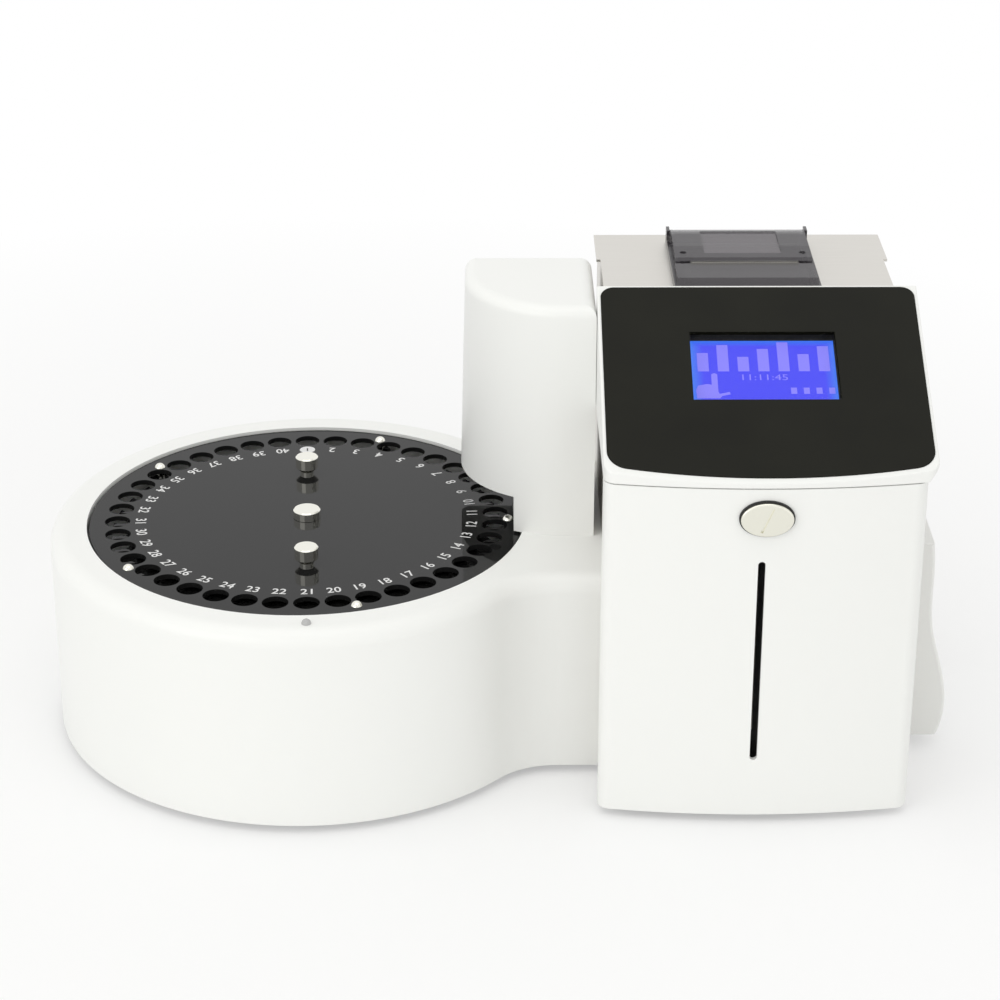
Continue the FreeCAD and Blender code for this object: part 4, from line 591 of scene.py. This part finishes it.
parts = []
spots, outlines = glyph_mesh("11:11:45", 4.4 * MM, 1.3, 0.0)
parts.append((on_screen(spots, 0.3 * MM, 72.9 * MM), outlines))
for n, high in enumerate(CHART_HIGH):
    across = (n - 3) * CHART_STEP
    parts.append((on_screen(bar(6.4 * MM, high * MM), across, CHART_FOOT + high / 2 * MM), [[0, 1, 2, 3]]))
HAND = [(-9.3, -9.4), (3.6, -9.4), (5.0, -7.6), (9.8, -6.4), (9.2, -4.6), (3.6, -6.0), (2.9, -4.4),
        (2.9, 8.6), (1.2, 9.6), (-0.6, 8.6), (-0.6, 0.8), (-3.4, 1.4), (-5.6, 0.8), (-8.4, 0.2), (-9.6, -3.2)]
parts.append((on_screen([Vector((x, y, 0)) * MM for x, y in HAND], -29.7 * MM, 66.6 * MM),
              [list(range(len(HAND)))]))
for n in range(4):
    parts.append((on_screen(bar(3.4 * MM, 4.6 * MM), (16.0 + n * 7.2) * MM, 62.8 * MM), [[0, 1, 2, 3]]))
screen_shapes = flat_piece("screen_shapes", parts, pale_dots, "analyzer")
print("screen shapes:", len(parts))

# %% [markdown]
# ## Painted shade round the lock
#
# The dark line round the oval lock is the shade in the gap between the lock and
# the door. It is painted as a flat black ring of ellipses between the door's
# face and the lock's plate, a little wider than the plate.

# %% Ring of painted shade round the lock
lock_low, lock_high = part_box("latch_knob")
LOCK_Z = (lock_low[2] + lock_high[2]) / 2
LOCK_BACK = lock_low[1] + 3.0 * MM
# Outer and inner size of the black ring that paints the shade round the lock.
LOCK_SHADE_OUTER = (15.5 * MM, 10.9 * MM)
LOCK_SHADE_INNER = (13.6 * MM, 8.9 * MM)


def oval_ring(outer, inner, front, back, count=72):
    """A flat oval ring, as four rings of points."""
    points = []
    for (wide, high), y in ((outer, front), (outer, back), (inner, front), (inner, back)):
        for n in range(count):
            angle = 2 * math.pi * n / count
            points.append(Vector((MID_X + wide * math.cos(angle), y, LOCK_Z + high * math.sin(angle))))
    faces = []
    for n in range(count):
        after = (n + 1) % count
        faces.append([n, after, count + after, count + n])
        faces.append([n, after, 2 * count + after, 2 * count + n])
        faces.append([2 * count + n, 2 * count + after, 3 * count + after, 3 * count + n])
    return points, faces


# A flat black ring stands for the shade in the gap round the lock: painted shade.
lock_shade_outline = oval_ring(LOCK_SHADE_OUTER, LOCK_SHADE_INNER, LOCK_BACK - 0.7 * MM, LOCK_BACK + 0.75 * MM)
lock_shade_piece = flat_piece("lock_painted_shade", [lock_shade_outline], print_and_shade_ink, "door")
print("gasket points:", len(lock_shade_piece.data.vertices))

# %% [markdown]
# ## A plain white studio
#
# The floor is a wide pale sheet. Seen by the camera it is lifted towards
# white, but not all the way, so the soft contact shadow stays. The world is
# white to the camera and to mirrors, and a little dimmer as a lamp. Three
# softboxes, above, front left and low in front, give the faces their slight
# difference in tone.

# %% Floor
NEAR_WHITE = 0.35
FADE_START = 0.3
FADE_LONG = 0.625


def floor_finish():
    finish = Finish("studio_floor", Base_Color=grey(0.93), Roughness=0.9)
    path = finish.make("ShaderNodeLightPath", output="Is Camera Ray")
    mirror = finish.make("ShaderNodeLightPath", output="Is Glossy Ray")
    white = finish.make("ShaderNodeEmission", None, {"Color": grey(1.0), "Strength": 1.0})
    spread = finish.make("ShaderNodeVectorMath", {"operation": "LENGTH"},
                         {0: finish.place()}, output="Value")
    far = finish.make("ShaderNodeValToRGB", {"stops": [(0.0, grey(NEAR_WHITE)), (1.0, grey(1.0))]},
                      {"Fac": (spread - FADE_START) * (1 / FADE_LONG)})
    amount = (path + mirror) * far
    mixed = finish.make("ShaderNodeMixShader", None,
                        {0: amount, 1: Flow(finish, finish.shader.outputs[0]), 2: white})
    output = finish.tree.nodes["Material Output"]
    finish.feed(output.inputs["Surface"], mixed)
    return finish.material


FLOOR_HALF = 4.0
floor_mesh = bpy.data.meshes.new("studio_floor")
floor_mesh.from_pydata([(-FLOOR_HALF, -FLOOR_HALF, 0), (FLOOR_HALF, -FLOOR_HALF, 0),
                        (FLOOR_HALF, FLOOR_HALF, 0), (-FLOOR_HALF, FLOOR_HALF, 0)],
                       [], [(0, 1, 2, 3)])
floor_mesh.materials.append(floor_finish())
floor = bpy.data.objects.new("studio_floor", floor_mesh)
bpy.context.scene.collection.objects.link(floor)
print("floor", 2 * FLOOR_HALF, "m")

# %% World
LAMP_LEVEL = 0.80
world = bpy.data.worlds.new("white_room")
bpy.context.scene.world = world
world.use_nodes = True
room = NodeTree(world.node_tree)
room.tree.nodes.remove(room.tree.nodes["Background"])
camera_ray, glossy_ray, through_ray = [room.make("ShaderNodeLightPath", output=name) for name in
                                       ("Is Camera Ray", "Is Glossy Ray", "Is Transmission Ray")]
seen = room.make("ShaderNodeMath", {"operation": "ADD", "use_clamp": True},
                 {0: camera_ray + glossy_ray, 1: through_ray})
lamp = room.make("ShaderNodeBackground", None, {"Color": (1.0, 1.0, 0.985, 1), "Strength": LAMP_LEVEL})
backdrop = room.make("ShaderNodeBackground", None, {"Color": grey(1.0)})
room.feed(room.tree.nodes["World Output"].inputs["Surface"],
          room.make("ShaderNodeMixShader", None, {0: seen, 1: lamp, 2: backdrop}))
print("world level", LAMP_LEVEL)


# %% Softboxes
def softbox(name, place, aim, wide, high, power):
    light = bpy.data.lights.new(name, "AREA")
    light.shape = "RECTANGLE"
    light.size = wide
    light.size_y = high
    light.energy = power
    light.color = (1.0, 1.0, 0.98)
    holder = bpy.data.objects.new(name, light)
    holder.location = place
    holder.rotation_euler = (Vector(aim) - Vector(place)).to_track_quat("-Z", "Y").to_euler()
    bpy.context.scene.collection.objects.link(holder)
    return holder


top_box = softbox("top_softbox", (0.0, -0.4, 2.2), (0.1, 0.0, 0.1), 2.0, 1.6, 8.0)
left_box = softbox("left_softbox", (-1.2, -1.5, 0.9), (0.05, 0.0, 0.12), 1.4, 1.2, 6.5)
low_box = softbox("low_softbox", (0.30, -0.85, 0.07), (0.25, 0.0, 0.06), 0.9, 0.22, 0.30)
print("softboxes:", top_box.name, left_box.name, low_box.name)

# %% [markdown]
# ## The camera
#
# The camera stands in front and looks down by about 25 degrees through a long
# lens, so the sides converge only a little. Its place and its three turns were
# worked out once and are written as plain numbers.

# %% Camera
CAMERA_PLACE = Vector((0.10419, -1.5198, 0.85015))
PITCH_DOWN = math.radians(25.06)
YAW_RIGHT = math.radians(0.486)
ROLL = math.radians(0.077)
LENS = 99.76

ahead = Vector((math.sin(YAW_RIGHT) * math.cos(PITCH_DOWN),
                math.cos(YAW_RIGHT) * math.cos(PITCH_DOWN), -math.sin(PITCH_DOWN)))
side = Vector((math.cos(YAW_RIGHT), -math.sin(YAW_RIGHT), 0))
up = side.cross(ahead)
side_rolled = side * math.cos(ROLL) + up * math.sin(ROLL)
up_rolled = up * math.cos(ROLL) - side * math.sin(ROLL)
lens = bpy.data.cameras.new("front_camera")
lens.lens = LENS
lens.sensor_width = 36.0
camera = bpy.data.objects.new("front_camera", lens)
basis = Matrix((side_rolled, up_rolled, -ahead)).transposed().to_4x4()
basis.translation = CAMERA_PLACE
camera.matrix_world = basis
bpy.context.scene.collection.objects.link(camera)
bpy.context.scene.camera = camera
bpy.context.scene.view_settings.view_transform = "Standard"
print("camera at", [round(c, 3) for c in CAMERA_PLACE])
